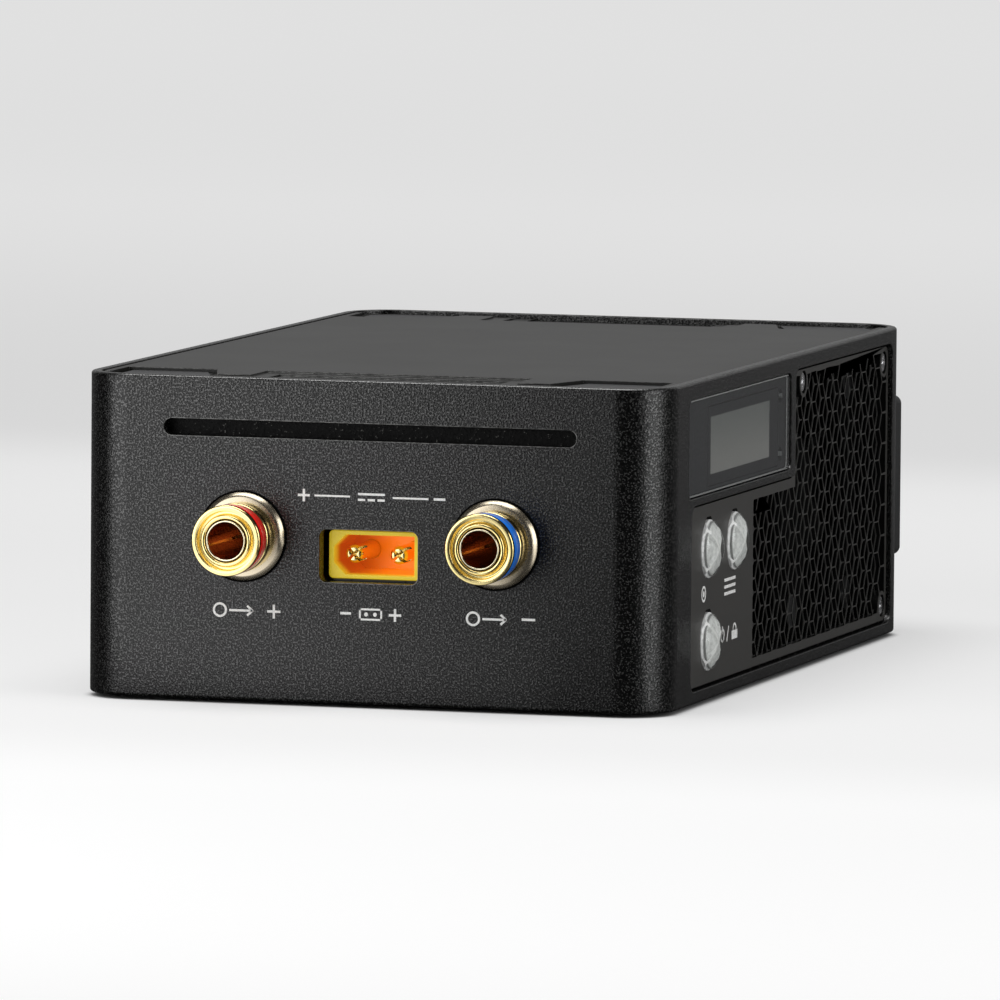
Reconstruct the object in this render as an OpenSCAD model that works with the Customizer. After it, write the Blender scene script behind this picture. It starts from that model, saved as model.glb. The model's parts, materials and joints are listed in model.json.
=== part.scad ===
// Compact bench instrument in a wrap-round aluminium shell: two 4 mm sockets and a
// two-pole sense connector in front, a display, three buttons and a hexagon grille on
// the right side, a fan and a finned heatsink inside.
// Origin: middle of the shell's width and of the whole depth, on the ground. +Y runs to the back.

/* [Shell] */
// Width of the shell
shell_w = 66; // [64:0.5:80]
// Depth of the shell from front face to back face
shell_d = 104; // [100:0.5:130]
// Height of the shell band
shell_h = 35; // [34.5:0.5:46]
// Radius of the upright corners
corner_r = 5.75; // [4:0.25:8]
// Thickness of the shell wall
wall = 1.6; // [1.4:0.1:2]
// Thickness of the rim that the covers lie inside
rim_w = 1.1; // [0.8:0.1:1.3]
// Rounding of the upper and lower outer edges
edge_r = 0.35; // [0.2:0.05:0.6]
// Radius of the quarter-round screw posts in the corners
post_r = 6.2; // [5.5:0.1:7]

/* [Covers] */
// Thickness of the top and bottom cover
cover_t = 1.3; // [1.2:0.1:1.8]
// How far a cover lies below the rim
cover_drop = 0.1; // [0:0.05:0.4]
// Gap round a cover
cover_gap = 0.28; // [0.05:0.01:0.4]
// Length of the corner pockets
pocket_l = 10.1; // [9:0.1:12]
// Distance of the pockets' outer ends from the sides of the shell
pocket_side = 2.2; // [2:0.1:4]
// How far the inner ends of the pockets slant towards the middle of the end faces
pocket_slant = 2.9; // [0:0.1:4]
// How far the pockets and the finger recesses reach from the end faces
pocket_reach = 11.3; // [10:0.1:14]
// Depth of the corner pockets
pocket_depth = 0.6; // [0.5:0.05:0.6]
// Length of the stepped finger recesses in the middle of the ends
finger_l = 30; // [20:1:34]
// Height of one step of a finger recess
finger_step = 0.22; // [0.1:0.02:0.26]
// Depth of the lowered strips along both ends
strip_depth = 0.35; // [0.1:0.05:0.4]
// How far the lowered strips reach from the end faces
strip_reach = 5; // [4:0.5:8]
// How far the feet stand below the shell
foot_h = 0.4; // [0.3:0.1:1.5]

/* [Front] */
// Distance of each socket from the middle
jack_x = 14.2; // [13:0.1:17]
// Height of the socket axes above the shell's lower edge
jack_h = 17.8; // [17:0.1:22]
// How far the sockets stand out of the front face
jack_out = 6.2; // [6:0.1:9]
// Outer radius of the socket sleeves
sleeve_r = 3.85; // [3.7:0.05:4.2]
// Radius of the 4 mm socket bore
bore_r = 2.02; // [2:0.01:2.05]
// Radius of the washers behind the sleeves
washer_r = 4.8; // [4.6:0.05:5.5]
// Height of the sense connector above the shell's lower edge
sense_h = 16; // [15:0.1:18]
// Width of the sense connector's shroud
sense_w = 10.2; // [10:0.1:11]
// Height of the sense connector's shroud
sense_t = 5.2; // [5:0.1:5.6]
// Pitch of the two sense pins
sense_pitch = 5; // [4.8:0.1:5.2]
// Length of the air slot above the sockets
slot_l = 46.3; // [40:0.1:50]
// Height of the air slot
slot_t = 1.8; // [1.4:0.1:2.4]
// Height of the air slot's middle above the shell's lower edge
slot_h = 29.45; // [28:0.05:31]

/* [Right side] */
// Front end of the grille window, from the front face
window_y0 = 11.3; // [10:0.1:13]
// Distance of the window's rear end from the back face
window_back = 6.6; // [6:0.1:9]
// Lower edge of the window above the shell's lower edge
window_low = 1.35; // [1.3:0.05:2]
// Distance of the window's upper edge from the shell's upper edge
window_top = 1.7; // [1.5:0.05:2.5]
// Lower edge of the display window above the shell's lower edge
display_low = 22.35; // [21.5:0.05:24]
// Length of the display window
display_l = 42.5; // [40:0.1:46]
// Width of the bar under the display and of the post behind it
bar_w = 0.85; // [0.6:0.05:1.4]
// Width of the post between the display and the tall part of the grille
post_w = 1.8; // [1.2:0.1:3]
// How far the grille panel lies below the shell's surface
grille_sink = 0.5; // [0.3:0.05:0.8]
// Pitch of the hexagons along a column
hex_pitch = 3.52; // [3:0.02:5]
// Width of the webs between the hexagons
hex_web = 0.3; // [0.25:0.01:0.8]
// How much the hexagons and their columns are drawn out from front to back
hex_stretch = 1.04; // [1:0.01:1.1]
// Thickness of the panel where it is perforated
hex_t = 0.6; // [0.4:0.05:0.9]
// Radius of the button caps
button_r = 3; // [2.8:0.05:3.4]
// How far the button caps stand out of the shell's surface
button_out = 1.1; // [0.8:0.05:1.2]
// Travel of the buttons
button_travel = 0.4; // [0.25:0.05:0.4]

/* [Back] */
// Width of the rear vent frame
rear_w = 63.2; // [58:0.1:64]
// Height of the rear vent frame
rear_t = 18.4; // [17:0.1:20]
// How far the rear vent frame stands out of the back face
rear_out = 3; // [2:0.1:4]

/* [Inside] */
// Size of the square fan
fan_size = 30; // [28:0.5:30]
// Depth of the fan
fan_t = 10; // [8:0.5:10]
// Number of fan blades
fan_blades = 7; // [5:1:9]
// Pitch of the heatsink fins
fin_pitch = 2.6; // [2.2:0.1:4]
// Thickness of the heatsink fins
fin_t = 0.8; // [0.6:0.1:1.2]
// Thickness of the main board
board_t = 1.6; // [1.2:0.1:2]

/* [Hidden] */
$fn = 48;
eps = 0.01;
fit_gap = 0.05;

// Main planes
face_y = (jack_out - shell_d - rear_out) / 2;
back_y = face_y + shell_d;
side_x = shell_w / 2;
inner_x = side_x - wall;
floor_h = cover_drop + cover_t;
ceiling_h = shell_h - cover_drop - cover_t;

// Plan position from the front face, and height from the shell's lower edge
function fy(u) = face_y + u;
function hz(h) = foot_h + h;

// Screw posts and cover screws
screw_in = 3.2;
screw_r = 1;
screw_l = 7;
head_r = 1.9;
head_t = 0.6;
post_x = inner_x - screw_in;
post_front = wall + screw_in;
post_back = shell_d - post_front;
pocket_x1 = side_x - pocket_side;
pocket_x0 = pocket_x1 - pocket_l;
pocket_front = 2;
pad_gap = 0.8;
pad_t = pocket_depth - 0.3;

// Grille window in the side wall
window_y1 = shell_d - window_back;
window_high = shell_h - window_top;
window_r = 1.5;
display_y0 = 10.1;
display_y1 = display_y0 + display_l;
display_high = shell_h - 1.9;
display_r = 1;
window_bar = display_low - bar_w;
window_post = display_y1 + post_w;

// Grille panel
grille_gap = 0.3;
grille_x1 = side_x - grille_sink;
grille_x0 = inner_x;
hex_r = hex_pitch / sqrt(3);
hole_r = (hex_pitch - hex_web) / sqrt(3);
field_y0 = 38.5;
field_y1 = window_y1 - grille_gap - 0.7;
field_low = 2.6;
field_bar = 20.1;
field_high = window_high - 0.95;
panel_screws = [[window_post + 5.2, window_high - 1.75], [window_y1 - 2.1, window_high - 2.1],
    [window_y1 - 2.1, window_low + 2]];
panel_screw_pad_r = 1.7;
panel_seat_r = 1.3;
panel_seat_t = 0.55;
panel_head_r = 1.05;
panel_shank_r = 0.8;

// Buttons: position along the side and height
button_pos = [[20, 16.3], [30.65, 16.3], [20, 6.2]];
button_gap = 0.25;
button_flange_r = 3.9;
button_flange_t = 0.6;
button_dome = 1.1;
button_stem_r = 1.3;
notch_w = 4.2;
notch_h = 0.25;
notch_tip = 0.8;

// Moulded frame behind the side wall
frame_t = 4;
frame_web = 1.6;
frame_x1 = inner_x;
frame_x0 = inner_x - frame_t;
frame_web_x1 = frame_x0 + frame_web;
frame_y0 = wall + post_r + 0.4;
frame_y1 = shell_d - wall - post_r - 0.4;
frame_low = floor_h + 0.2;
frame_high = ceiling_h - 0.2;

// Display parts behind the window
glass_t = 0.8;
glass_gap = 0.12;
glass_x1 = side_x - 0.2;
glass_x0 = glass_x1 - glass_t;
panel_l = 29;
panel_w = 9.4;
panel_y = 34.4;
panel_h = (display_low + display_high) / 2 - 0.35;
panel_t = 1.6;
light_pos = [[50, display_high - 2.4], [50, display_low + 1.9]];

// Boards
ui_t = 1.2;
ui_x1 = frame_x0;
ui_x0 = ui_x1 - ui_t;
switch_w = 4.6;
switch_t = 1;
switch_stem_t = 0.5;
button_back = ui_x1 + switch_t + switch_stem_t + button_travel + fit_gap;
board_top = sense_h - sense_t / 2 - fit_gap;
board_low = board_top - board_t;
board_x0 = -inner_x + 1;
board_x1 = ui_x0 - 1;
board_y0 = 17;
board_y1 = shell_d - wall - post_r - 0.4;

// Fan, behind the tall part of the grille
fan_y = window_y1 - 20.2;
fan_h = (window_low + window_high) / 2;
fan_x1 = frame_x0 - fit_gap;
fan_x0 = fan_x1 - fan_t;
fan_hole = fan_size / 2 - 0.9;
fan_pitch = 0.8 * fan_size;
fan_hub_r = 7;
fan_shaft_r = 1;
fan_bush_r = 2.4;
fan_tip_gap = 0.5;
fan_disc_t = 1.2;
board_notch_y = fan_y - fan_size / 2 - 5;
board_notch_x = fan_x0 - 1.8;

// Heatsink over the rear half of the board
transistor_t = 4.5;
thermal_t = 0.3;
sink_low = board_top + transistor_t + thermal_t;
sink_base = 2.6;
sink_high = ceiling_h - 0.6;
sink_x0 = board_x0 + 1;
sink_x1 = board_notch_x - 0.4;
sink_y0 = 50;
sink_y1 = board_y1 - 1;
transistor_n = 4;
transistor_pitch = 11.4;
transistor_x = -4;

// Sockets
hole_jack_r = 4.3;
stem_jack_r = 3.5;
bush_t = 0.2;
bush_edge = 0.18;
washer_t = 0.5;
washer_bevel = 0.5;
lug_t = 1;
nut_flat = 10;
nut_t = 2.4;
nut_y = wall + 1;
lug_y = nut_y + nut_t;
sleeve_rim_t = 0.6;
sleeve_bore_r = 2.45;
ring_t = 2.5;
contact_r = 2.3;
contact_y1 = 4.8;
bore_end = 4;
bar_x = jack_x + 9;

// Sense connector
sense_front = 2.2;
sense_back = 12.6;
sense_wall = 0.6;
sense_gap_x = 0.4;
sense_gap_z = 0.25;
sense_corner = 1.3;
sense_pin_r = 1;
sense_tip = 2.9;
sense_floor = 9.6;

// Rear vent frame
rear_mid_h = 17.4;
vent_x0 = -28.2;
vent_x1 = 1;
vent_t = 13.6;
slat_n = 6;
slat_t = 0.9;
vent_screw_x = rear_w / 2 - 1.9;
vent_head_t = 0.8;
socket_x = 9.5;
socket_w = 8.9;
socket_t = 3.2;
socket_l = 7.3;

// Rectangle with round corners, given by its middle and size
module rounded_rect(w, d, r) {
    square([w - 2 * r, d], center = true);
    square([w, d - 2 * r], center = true);
    for (x = [-1, 1], y = [-1, 1])
        translate([x * (w / 2 - r), y * (d / 2 - r)]) circle(r);
}

// The same, given by two opposite corners
module rounded_span(a, b, r) {
    translate([(a[0] + b[0]) / 2, (a[1] + b[1]) / 2])
        rounded_rect(b[0] - a[0], b[1] - a[1], r);
}

// Block with round upright corners and rounded upper and lower edges
module soft_block(w, d, h, r, e) {
    translate([0, 0, h / 2]) {
        rotate([90, 0, 0]) linear_extrude(d - 2 * r, center = true) rounded_rect(w, h, e);
        rotate([90, 0, 90]) linear_extrude(w - 2 * r, center = true) rounded_rect(d, h, e);
    }
    for (x = [-1, 1], y = [-1, 1])
        translate([x * (w / 2 - r), y * (d / 2 - r), 0]) rotate_extrude() {
            square([r - e, h]);
            translate([0, e]) square([r, h - 2 * e]);
            for (z = [e, h - e]) translate([r - e, z]) circle(e);
        }
}

// Extrusion of a drawing in (y, z) towards +X, from the plane x0
module along_x(x0, t) {
    translate([x0, 0, 0]) rotate([90, 0, 90]) linear_extrude(t) children();
}

// Extrusion of a drawing in (x, z) towards +Y, from u0 behind the front face
module along_y(u0, t) {
    translate([0, fy(u0 + t), 0]) rotate([90, 0, 0]) linear_extrude(t) children();
}

// Turned piece on a front-to-back axis; its profile is drawn in (radius, distance behind the face)
module turned_y(x, h) {
    translate([x, face_y, hz(h)]) rotate([-90, 0, 0]) rotate_extrude() children();
}

// Round bar from front to back
module bar_y(x, h, u0, u1, r) {
    translate([x, fy(u0), hz(h)]) rotate([-90, 0, 0]) cylinder(h = u1 - u0, r = r);
}

// Round bar across, from x0 to x1
module bar_across(x0, x1, u, h, r) {
    translate([x0, fy(u), hz(h)]) rotate([0, 90, 0]) cylinder(h = x1 - x0, r = r);
}

// Block given by its span from left to right, front to back and low to high
module block(x, u, h) {
    translate([x[0], fy(u[0]), hz(h[0])]) cube([x[1] - x[0], u[1] - u[0], h[1] - h[0]]);
}

module at_posts() {
    for (x = [-post_x, post_x], u = [post_front, post_back])
        translate([x, fy(u), 0]) children();
}

// Plan outline inside the wall by a given amount
module inner_outline(inset) {
    translate([0, face_y + shell_d / 2])
        rounded_rect(shell_w - 2 * inset, shell_d - 2 * inset, corner_r - inset);
}

// L-shaped outline of the grille window, pulled in by a gap
module window_outline(gap) {
    r = window_r - gap / 2;
    rounded_span([fy(window_y0) + gap, hz(window_low) + gap],
        [fy(window_post) + 4, hz(window_bar) - gap], r);
    rounded_span([fy(window_post) + gap, hz(window_low) + gap],
        [fy(window_y1) - gap, hz(window_high) - gap], r);
}

// Outline of the display window, pulled in by a gap
module display_outline(gap) {
    rounded_span([fy(display_y0) + gap, hz(display_low) + gap],
        [fy(display_y1) - gap, hz(display_high) - gap], display_r - gap);
}

module at_buttons() {
    for (p = button_pos) translate([fy(p[0]), hz(p[1])]) children();
}

module at_panel_screws() {
    for (p = panel_screws) translate([fy(p[0]), hz(p[1])]) children();
}

module at_fan_screws() {
    for (y = [-1, 1], z = [-1, 1])
        translate([fy(fan_y) + y * fan_pitch / 2, hz(fan_h) + z * fan_pitch / 2]) children();
}

// Extruded band: four walls, corner posts, front and side windows, rear openings
module shell_band() {
    color([0.12, 0.12, 0.13]) difference() {
        translate([0, face_y + shell_d / 2, hz(0)])
            soft_block(shell_w, shell_d, shell_h, corner_r, edge_r);
        // the hollow, with a quarter-round post left in each corner
        translate([0, 0, hz(-1)]) linear_extrude(shell_h + 2) difference() {
            inner_outline(wall);
            for (x = [-inner_x, inner_x], y = [fy(wall), back_y - wall])
                translate([x, y]) circle(post_r);
        }
        // seats of the two covers
        for (z = [hz(-1), hz(ceiling_h)]) translate([0, 0, z])
            linear_extrude(floor_h + 1) inner_outline(rim_w);
        // cover screw holes
        at_posts() for (z = [hz(floor_h) - eps, hz(ceiling_h) - screw_l])
            translate([0, 0, z]) cylinder(h = screw_l + eps, r = screw_r - fit_gap);
        // front: air slot, sockets, sense connector
        along_y(-1, wall + 2) {
            translate([0, hz(slot_h)]) rounded_rect(slot_l, slot_t, slot_t / 2 - eps);
            for (x = [-jack_x, jack_x]) translate([x, hz(jack_h)]) circle(hole_jack_r);
            translate([0, hz(sense_h)])
                rounded_rect(sense_w + 2 * sense_gap_x, sense_t + 2 * sense_gap_z, 0.8);
        }
        // right side: grille and display
        along_x(inner_x - 1, wall + 2) window_outline(0);
        along_x(inner_x - 1, wall + 2) display_outline(0);
        // back: vent, power socket and the vent frame's screws
        along_y(shell_d - wall - 1, wall + 2) {
            rounded_span([vent_x0, hz(rear_mid_h - vent_t / 2)],
                [vent_x1, hz(rear_mid_h + vent_t / 2)], 1);
            translate([socket_x, hz(board_top + socket_t / 2 + fit_gap)])
                rounded_rect(socket_w + 1, socket_t + 0.8, 1.6);
        }
        for (x = [-1, 1])
            bar_y(x * vent_screw_x, rear_mid_h, shell_d - 5, shell_d + 1, 0.8);
    }
}

// Plan outline of the pockets at the four corners, pulled in by a gap. The inner ends slant, and
// the corners next to the shell's round ones are cut off.
module corner_outlines(gap) {
    cut = 2.2;
    for (m = [0, 1]) translate([0, m * (face_y + back_y)]) mirror([0, m]) for (n = [0, 1])
        mirror([n, 0]) polygon([
            [pocket_x0 - pocket_slant + gap, fy(pocket_front + gap)],
            [pocket_x1 - cut - 0.4 * gap, fy(pocket_front + gap)],
            [pocket_x1 - gap, fy(pocket_front + cut + 0.4 * gap)],
            [pocket_x1 - gap, fy(pocket_reach - gap)],
            [pocket_x0 + gap, fy(pocket_reach - gap)]]);
}

// Flat cover seen from outside (outside up): pockets, finger recesses, end strips, screw holes
module cover_plate() {
    tread = 1.9;
    difference() {
        linear_extrude(cover_t) inner_outline(rim_w + cover_gap);
        translate([0, 0, cover_t - pocket_depth]) linear_extrude(1) corner_outlines(0);
        for (m = [0, 1]) translate([0, m * (face_y + back_y), cover_t]) mirror([0, m, 0]) {
            translate([-shell_w, face_y - 1, -strip_depth])
                cube([2 * shell_w, strip_reach + 1, 1]);
            for (k = [1:3])
                translate([2 * (k - 1) - finger_l / 2, face_y - 1, -k * finger_step])
                    cube([finger_l - 4 * (k - 1), pocket_reach + 1 - (k - 1) * tread, 1]);
        }
        at_posts() {
            translate([0, 0, -1]) cylinder(h = cover_t + 2, r = screw_r + 0.15);
            translate([0, 0, cover_t - pocket_depth - head_t])
                cylinder(h = head_t + eps, r1 = screw_r + 0.15, r2 = head_r + 0.15);
        }
    }
}

module top_cover() {
    color([0.16, 0.16, 0.16]) translate([0, 0, hz(ceiling_h)]) cover_plate();
}

module bottom_cover() {
    color([0.16, 0.16, 0.16]) translate([0, 0, hz(floor_h)]) mirror([0, 0, 1]) cover_plate();
}

// Countersunk screw, tip down, its flat head at z = 0
module flat_screw(l) {
    difference() {
        union() {
            translate([0, 0, -head_t]) cylinder(h = head_t, r1 = screw_r - 0.1, r2 = head_r);
            translate([0, 0, -l]) cylinder(h = l, r = screw_r - 0.1);
        }
        for (a = [0, 90]) rotate([0, 0, a])
            translate([-0.9, -0.15, -0.35]) cube([1.8, 0.3, 1]);
    }
}

module top_cover_screws() {
    color("silver") at_posts()
        translate([0, 0, hz(shell_h - cover_drop - pocket_depth)]) flat_screw(screw_l - 1);
}

module bottom_cover_screws() {
    color("silver") at_posts()
        translate([0, 0, hz(cover_drop + pocket_depth)]) mirror([0, 0, 1]) flat_screw(screw_l - 1);
}

// Pads at the four pockets, standing up by t from the plane z
module corner_pads(z, t) {
    translate([0, 0, z]) linear_extrude(t) corner_outlines(pad_gap);
}

// Plates in the top pockets, over the cover screws
module stacking_pads() {
    color([0.35, 0.35, 0.36]) corner_pads(hz(shell_h - cover_drop - pocket_depth), pad_t);
}

// Rubber feet in the bottom pockets, over the cover screws
module feet() {
    color([0.05, 0.05, 0.05]) corner_pads(0, hz(cover_drop + pocket_depth));
}

// L-shaped stretch of the grille panel that is perforated, made larger by a margin
module field_outline(margin) {
    for (p = [[field_y0, field_bar], [window_post + 1.9, field_high]])
        translate([fy(p[0] - margin), hz(field_low - margin)])
            square([field_y1 - p[0] + 2 * margin, p[1] - field_low + 2 * margin]);
}

// Hexagonal holes that fill the perforated stretch, whole or cut by its border
module hex_field() {
    step = 1.5 * hex_r * hex_stretch;
    columns = ceil((field_y1 - field_y0) / step) + 1;
    rows = ceil((field_high - field_low) / hex_pitch) + 1;
    hexagon = [for (a = [0:60:300]) hole_r * [hex_stretch * cos(a), sin(a)]];
    intersection() {
        field_outline(0);
        for (i = [0:columns], j = [0:rows])
            translate([fy(field_y0) + step * i, hz(field_low) + hex_pitch * (j + (i % 2) / 2)])
                polygon(hexagon);
    }
}

// L-shaped perforated panel, thinner behind its hexagons, with keyhole-shaped button holes
module side_grille() {
    hole = button_r + button_gap;
    notch_y = sqrt(pow(hole, 2) - pow(notch_w / 2, 2));
    top = hole + notch_h - notch_y;
    color([0.2, 0.2, 0.21]) difference() {
        along_x(grille_x0, grille_x1 - grille_x0) difference() {
            window_outline(grille_gap);
            difference() {
                hex_field();
                at_panel_screws() circle(panel_screw_pad_r);
            }
            at_panel_screws() circle(panel_shank_r + fit_gap);
            at_buttons() {
                circle(hole);
                translate([0, notch_y])
                    polygon([[-notch_w / 2, 0], [notch_w / 2, 0], [notch_tip, top], [-notch_tip, top]]);
            }
        }
        along_x(grille_x0 - 1, grille_x1 - hex_t - grille_x0 + 1) difference() {
            field_outline(0.1);
            at_panel_screws() circle(panel_screw_pad_r);
        }
        along_x(grille_x1 - panel_seat_t, 1) at_panel_screws() circle(panel_seat_r);
    }
}

// Screws sunk in the panel's round seats
module side_grille_screws() {
    seat_x = grille_x1 - panel_seat_t;
    color("silver") difference() {
        union() {
            along_x(seat_x, 0.4) at_panel_screws() circle(panel_head_r);
            along_x(seat_x - 3, 3 + eps) at_panel_screws() circle(panel_shank_r);
        }
        along_x(seat_x + 0.2, 1) at_panel_screws() for (a = [0, 90])
            rotate(a) square([1.4, 0.3], center = true);
    }
}

// Moulded frame behind the side wall; it carries the grille, the display, the board and the fan
module side_frame() {
    module opening_lower() {
        rounded_span([fy(field_y0), hz(field_low + 0.6)],
            [fy(fan_y - fan_size / 2 - 1), hz(field_bar - 0.6)], 1);
    }
    color([0.08, 0.08, 0.08]) difference() {
        along_x(frame_x0, frame_t)
            rounded_span([fy(frame_y0), hz(frame_low)], [fy(frame_y1), hz(frame_high)], 1);
        // room behind the hexagons, the fan's round opening and its screws
        along_x(frame_web_x1, frame_t) difference() {
            intersection() {
                field_outline(0.4);
                rounded_span([fy(frame_y0 + 0.8), hz(frame_low + 0.8)],
                    [fy(frame_y1 - 0.8), hz(frame_high - 0.8)], 1);
            }
            at_panel_screws() circle(panel_screw_pad_r + 0.3);
        }
        along_x(frame_x0 - 1, frame_t) translate([fy(fan_y), hz(fan_h)]) circle(fan_hole - 0.3);
        along_x(frame_x0 - 1, frame_t) at_fan_screws() circle(1.2);
        along_x(frame_web_x1, frame_t) at_fan_screws() circle(2.05);
        along_x(frame_x0 - 1, frame_t + 2) opening_lower();
        // display panel and indicator lights
        along_x(frame_x0 - 1, frame_t + 2) {
            translate([fy(panel_y), hz(panel_h)]) square([panel_l + 0.4, panel_w + 0.3], center = true);
            for (p = light_pos) translate([fy(p[0]), hz(p[1])]) circle(1.1);
        }
        // button cells and switch cut-outs
        along_x(frame_web_x1, frame_t) at_buttons() circle(button_flange_r + 0.35);
        along_x(frame_x0 - 1, frame_t) at_buttons() square(switch_w + 0.4, center = true);
        along_x(frame_x1 - 3, 4) at_panel_screws() circle(panel_shank_r + fit_gap);
    }
}

module display_glass() {
    color([0.05, 0.05, 0.07]) along_x(glass_x0, glass_t) display_outline(glass_gap);
}

// Foam ring that seals the glass on the frame
module display_gasket() {
    color([0.1, 0.1, 0.1]) along_x(frame_x1, glass_x0 - frame_x1) difference() {
        display_outline(glass_gap + 0.2);
        translate([fy(panel_y), hz(panel_h)]) square([panel_l + 0.2, panel_w - 0.6], center = true);
        for (p = light_pos) translate([fy(p[0]), hz(p[1])]) circle(0.8);
    }
}

// Display cell with its rear carrier
module display_panel() {
    color([0.4, 0.42, 0.42]) {
        along_x(glass_x0 - panel_t, panel_t) translate([fy(panel_y), hz(panel_h)])
            square([panel_l, panel_w - 0.8], center = true);
        along_x(ui_x1, glass_x0 - panel_t - ui_x1) translate([fy(panel_y), hz(panel_h)])
            square([panel_l - 4, panel_w - 2], center = true);
    }
}

// Light guides from the board to the glass
module indicator_lights() {
    color([0.8, 0.85, 0.8]) for (p = light_pos)
        bar_across(ui_x1, glass_x0, p[0], p[1], 0.7);
}

// Upright board behind the display and the buttons
module ui_board() {
    color([0.05, 0.25, 0.12]) along_x(ui_x0, ui_t) difference() {
        union() {
            rounded_span([fy(frame_y0 + 1), hz(frame_low + 0.6)], [fy(36), hz(frame_high - 0.6)], 1);
            rounded_span([fy(frame_y0 + 1), hz(window_bar)], [fy(54), hz(frame_high - 0.6)], 1);
        }
        translate([fy(frame_y0 + 3), hz(frame_high - 2.6)]) circle(1);
    }
}

module tact_switches() {
    color([0.15, 0.15, 0.15]) {
        along_x(ui_x1, switch_t) at_buttons() square(switch_w, center = true);
        along_x(ui_x1 + switch_t, switch_stem_t) at_buttons() circle(1);
    }
}

// Clear domed cap with a hidden flange and a stem towards its switch
module button(i) {
    dome_x = side_x + button_out - button_dome;
    dome_ball = (pow(button_r, 2) + pow(button_dome, 2)) / (2 * button_dome);
    flange_x = grille_x0 - fit_gap - button_flange_t;
    translate([0, fy(button_pos[i][0]), hz(button_pos[i][1])]) rotate([0, 90, 0]) {
        translate([0, 0, dome_x]) rotate_extrude() intersection() {
            translate([0, button_dome - dome_ball]) circle(dome_ball, $fn = 180);
            square([button_r, button_dome]);
        }
        translate([0, 0, flange_x]) cylinder(h = dome_x - flange_x, r = button_r);
        translate([0, 0, flange_x]) cylinder(h = button_flange_t, r = button_flange_r);
        translate([0, 0, button_back]) cylinder(h = flange_x - button_back, r = button_stem_r);
    }
}

module button_set() { color([0.8, 0.8, 0.8]) button(0); }
module button_menu() { color([0.8, 0.8, 0.8]) button(1); }
module button_power() { color([0.8, 0.8, 0.8]) button(2); }

// Turned sleeve: front face with a thin outer and a round inner ridge, groove for the coloured
// ring, barrel, threaded stem
module jack_sleeve(x) {
    barrel_y = sleeve_rim_t + ring_t;
    barrel_end = jack_out - washer_t - bush_t;
    face = 0.3;
    rim = 0.17;
    ridge = 0.23;
    bevel = 0.2;
    turned_y(x, jack_h) translate([0, -jack_out]) difference() {
        union() {
            translate([0, face]) square([sleeve_r, sleeve_rim_t - face]);
            translate([sleeve_r - 2 * rim, rim]) square([2 * rim, face - rim + eps]);
            translate([sleeve_r - rim, rim]) circle(rim);
            translate([sleeve_bore_r + ridge, face]) circle(ridge);
            translate([0, barrel_y]) square([sleeve_r - 0.05 - bevel, barrel_end - barrel_y]);
            translate([0, barrel_y + bevel]) square([sleeve_r - 0.05, barrel_end - barrel_y - bevel]);
            translate([sleeve_r - 0.05 - bevel, barrel_y + bevel]) circle(bevel);
            translate([0, face]) square([stem_jack_r, jack_out - face + lug_y + lug_t + nut_t + 0.6]);
            translate([0, face]) square([1.9, jack_out - face + lug_y + lug_t + nut_t + 2.4]);
        }
        translate([-1, -1]) square([1, 40]);
        translate([0, -1]) square([sleeve_bore_r, 3]);
        translate([0, -1]) square([contact_r + 0.03, 1 + jack_out + contact_y1 + fit_gap]);
    }
}

// Coloured ring in the sleeve's groove
module jack_ring(x) {
    in_r = stem_jack_r + fit_gap / 2;
    turned_y(x, jack_h) translate([in_r, sleeve_rim_t - jack_out])
        square([sleeve_r - 0.07 - in_r, ring_t]);
}

// Inner contact tube with a round lip, level with the sleeve's rim, and lengthwise slits
module jack_contact(x) {
    lip = (contact_r - bore_r) / 2;
    difference() {
        turned_y(x, jack_h) translate([0, -jack_out]) difference() {
            union() {
                translate([contact_r - lip, lip]) circle(lip);
                translate([0, lip]) square([contact_r, jack_out - lip + contact_y1]);
            }
            translate([-1, -1]) square([1, 40]);
            translate([0, -1]) square([bore_r, 1 + jack_out + bore_end]);
        }
        for (a = [15, 105]) translate([x, face_y, hz(jack_h)]) rotate([0, a, 0])
            translate([-contact_r - 1, -2.4, -0.2]) cube([2 * contact_r + 2, bore_end + 2.4, 0.4]);
    }
}

module positive_jack_sleeve() { color([0.85, 0.68, 0.3]) jack_sleeve(-jack_x); }
module positive_jack_ring() { color([0.8, 0.05, 0.05]) jack_ring(-jack_x); }
module positive_jack_contact() { color([0.75, 0.45, 0.2]) jack_contact(-jack_x); }
module negative_jack_sleeve() { color([0.85, 0.68, 0.3]) jack_sleeve(jack_x); }
module negative_jack_ring() { color([0.05, 0.2, 0.75]) jack_ring(jack_x); }
module negative_jack_contact() { color([0.75, 0.45, 0.2]) jack_contact(jack_x); }

// Metal washers in front of the face, with a wide bevel round their front
module jack_washers() {
    in_r = stem_jack_r + fit_gap;
    color([0.7, 0.65, 0.55]) for (x = [-jack_x, jack_x]) turned_y(x, jack_h)
        translate([0, -bush_t - washer_t]) polygon([[in_r, 0], [washer_r - washer_bevel, 0],
            [washer_r, 0.25], [washer_r, washer_t], [in_r, washer_t]]);
}

// Insulating bushes through the face, and the washers behind it
module jack_insulators() {
    in_r = stem_jack_r + fit_gap;
    color([0.1, 0.1, 0.1]) for (x = [-jack_x, jack_x]) {
        turned_y(x, jack_h) {
            translate([in_r, -bush_t]) square([hole_jack_r - fit_gap - in_r, bush_t + wall]);
            translate([in_r, -bush_t]) square([washer_r + bush_edge - in_r, bush_t]);
        }
        turned_y(x, jack_h) translate([in_r, wall]) square([5.2 - in_r, nut_y - wall]);
    }
}

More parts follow.
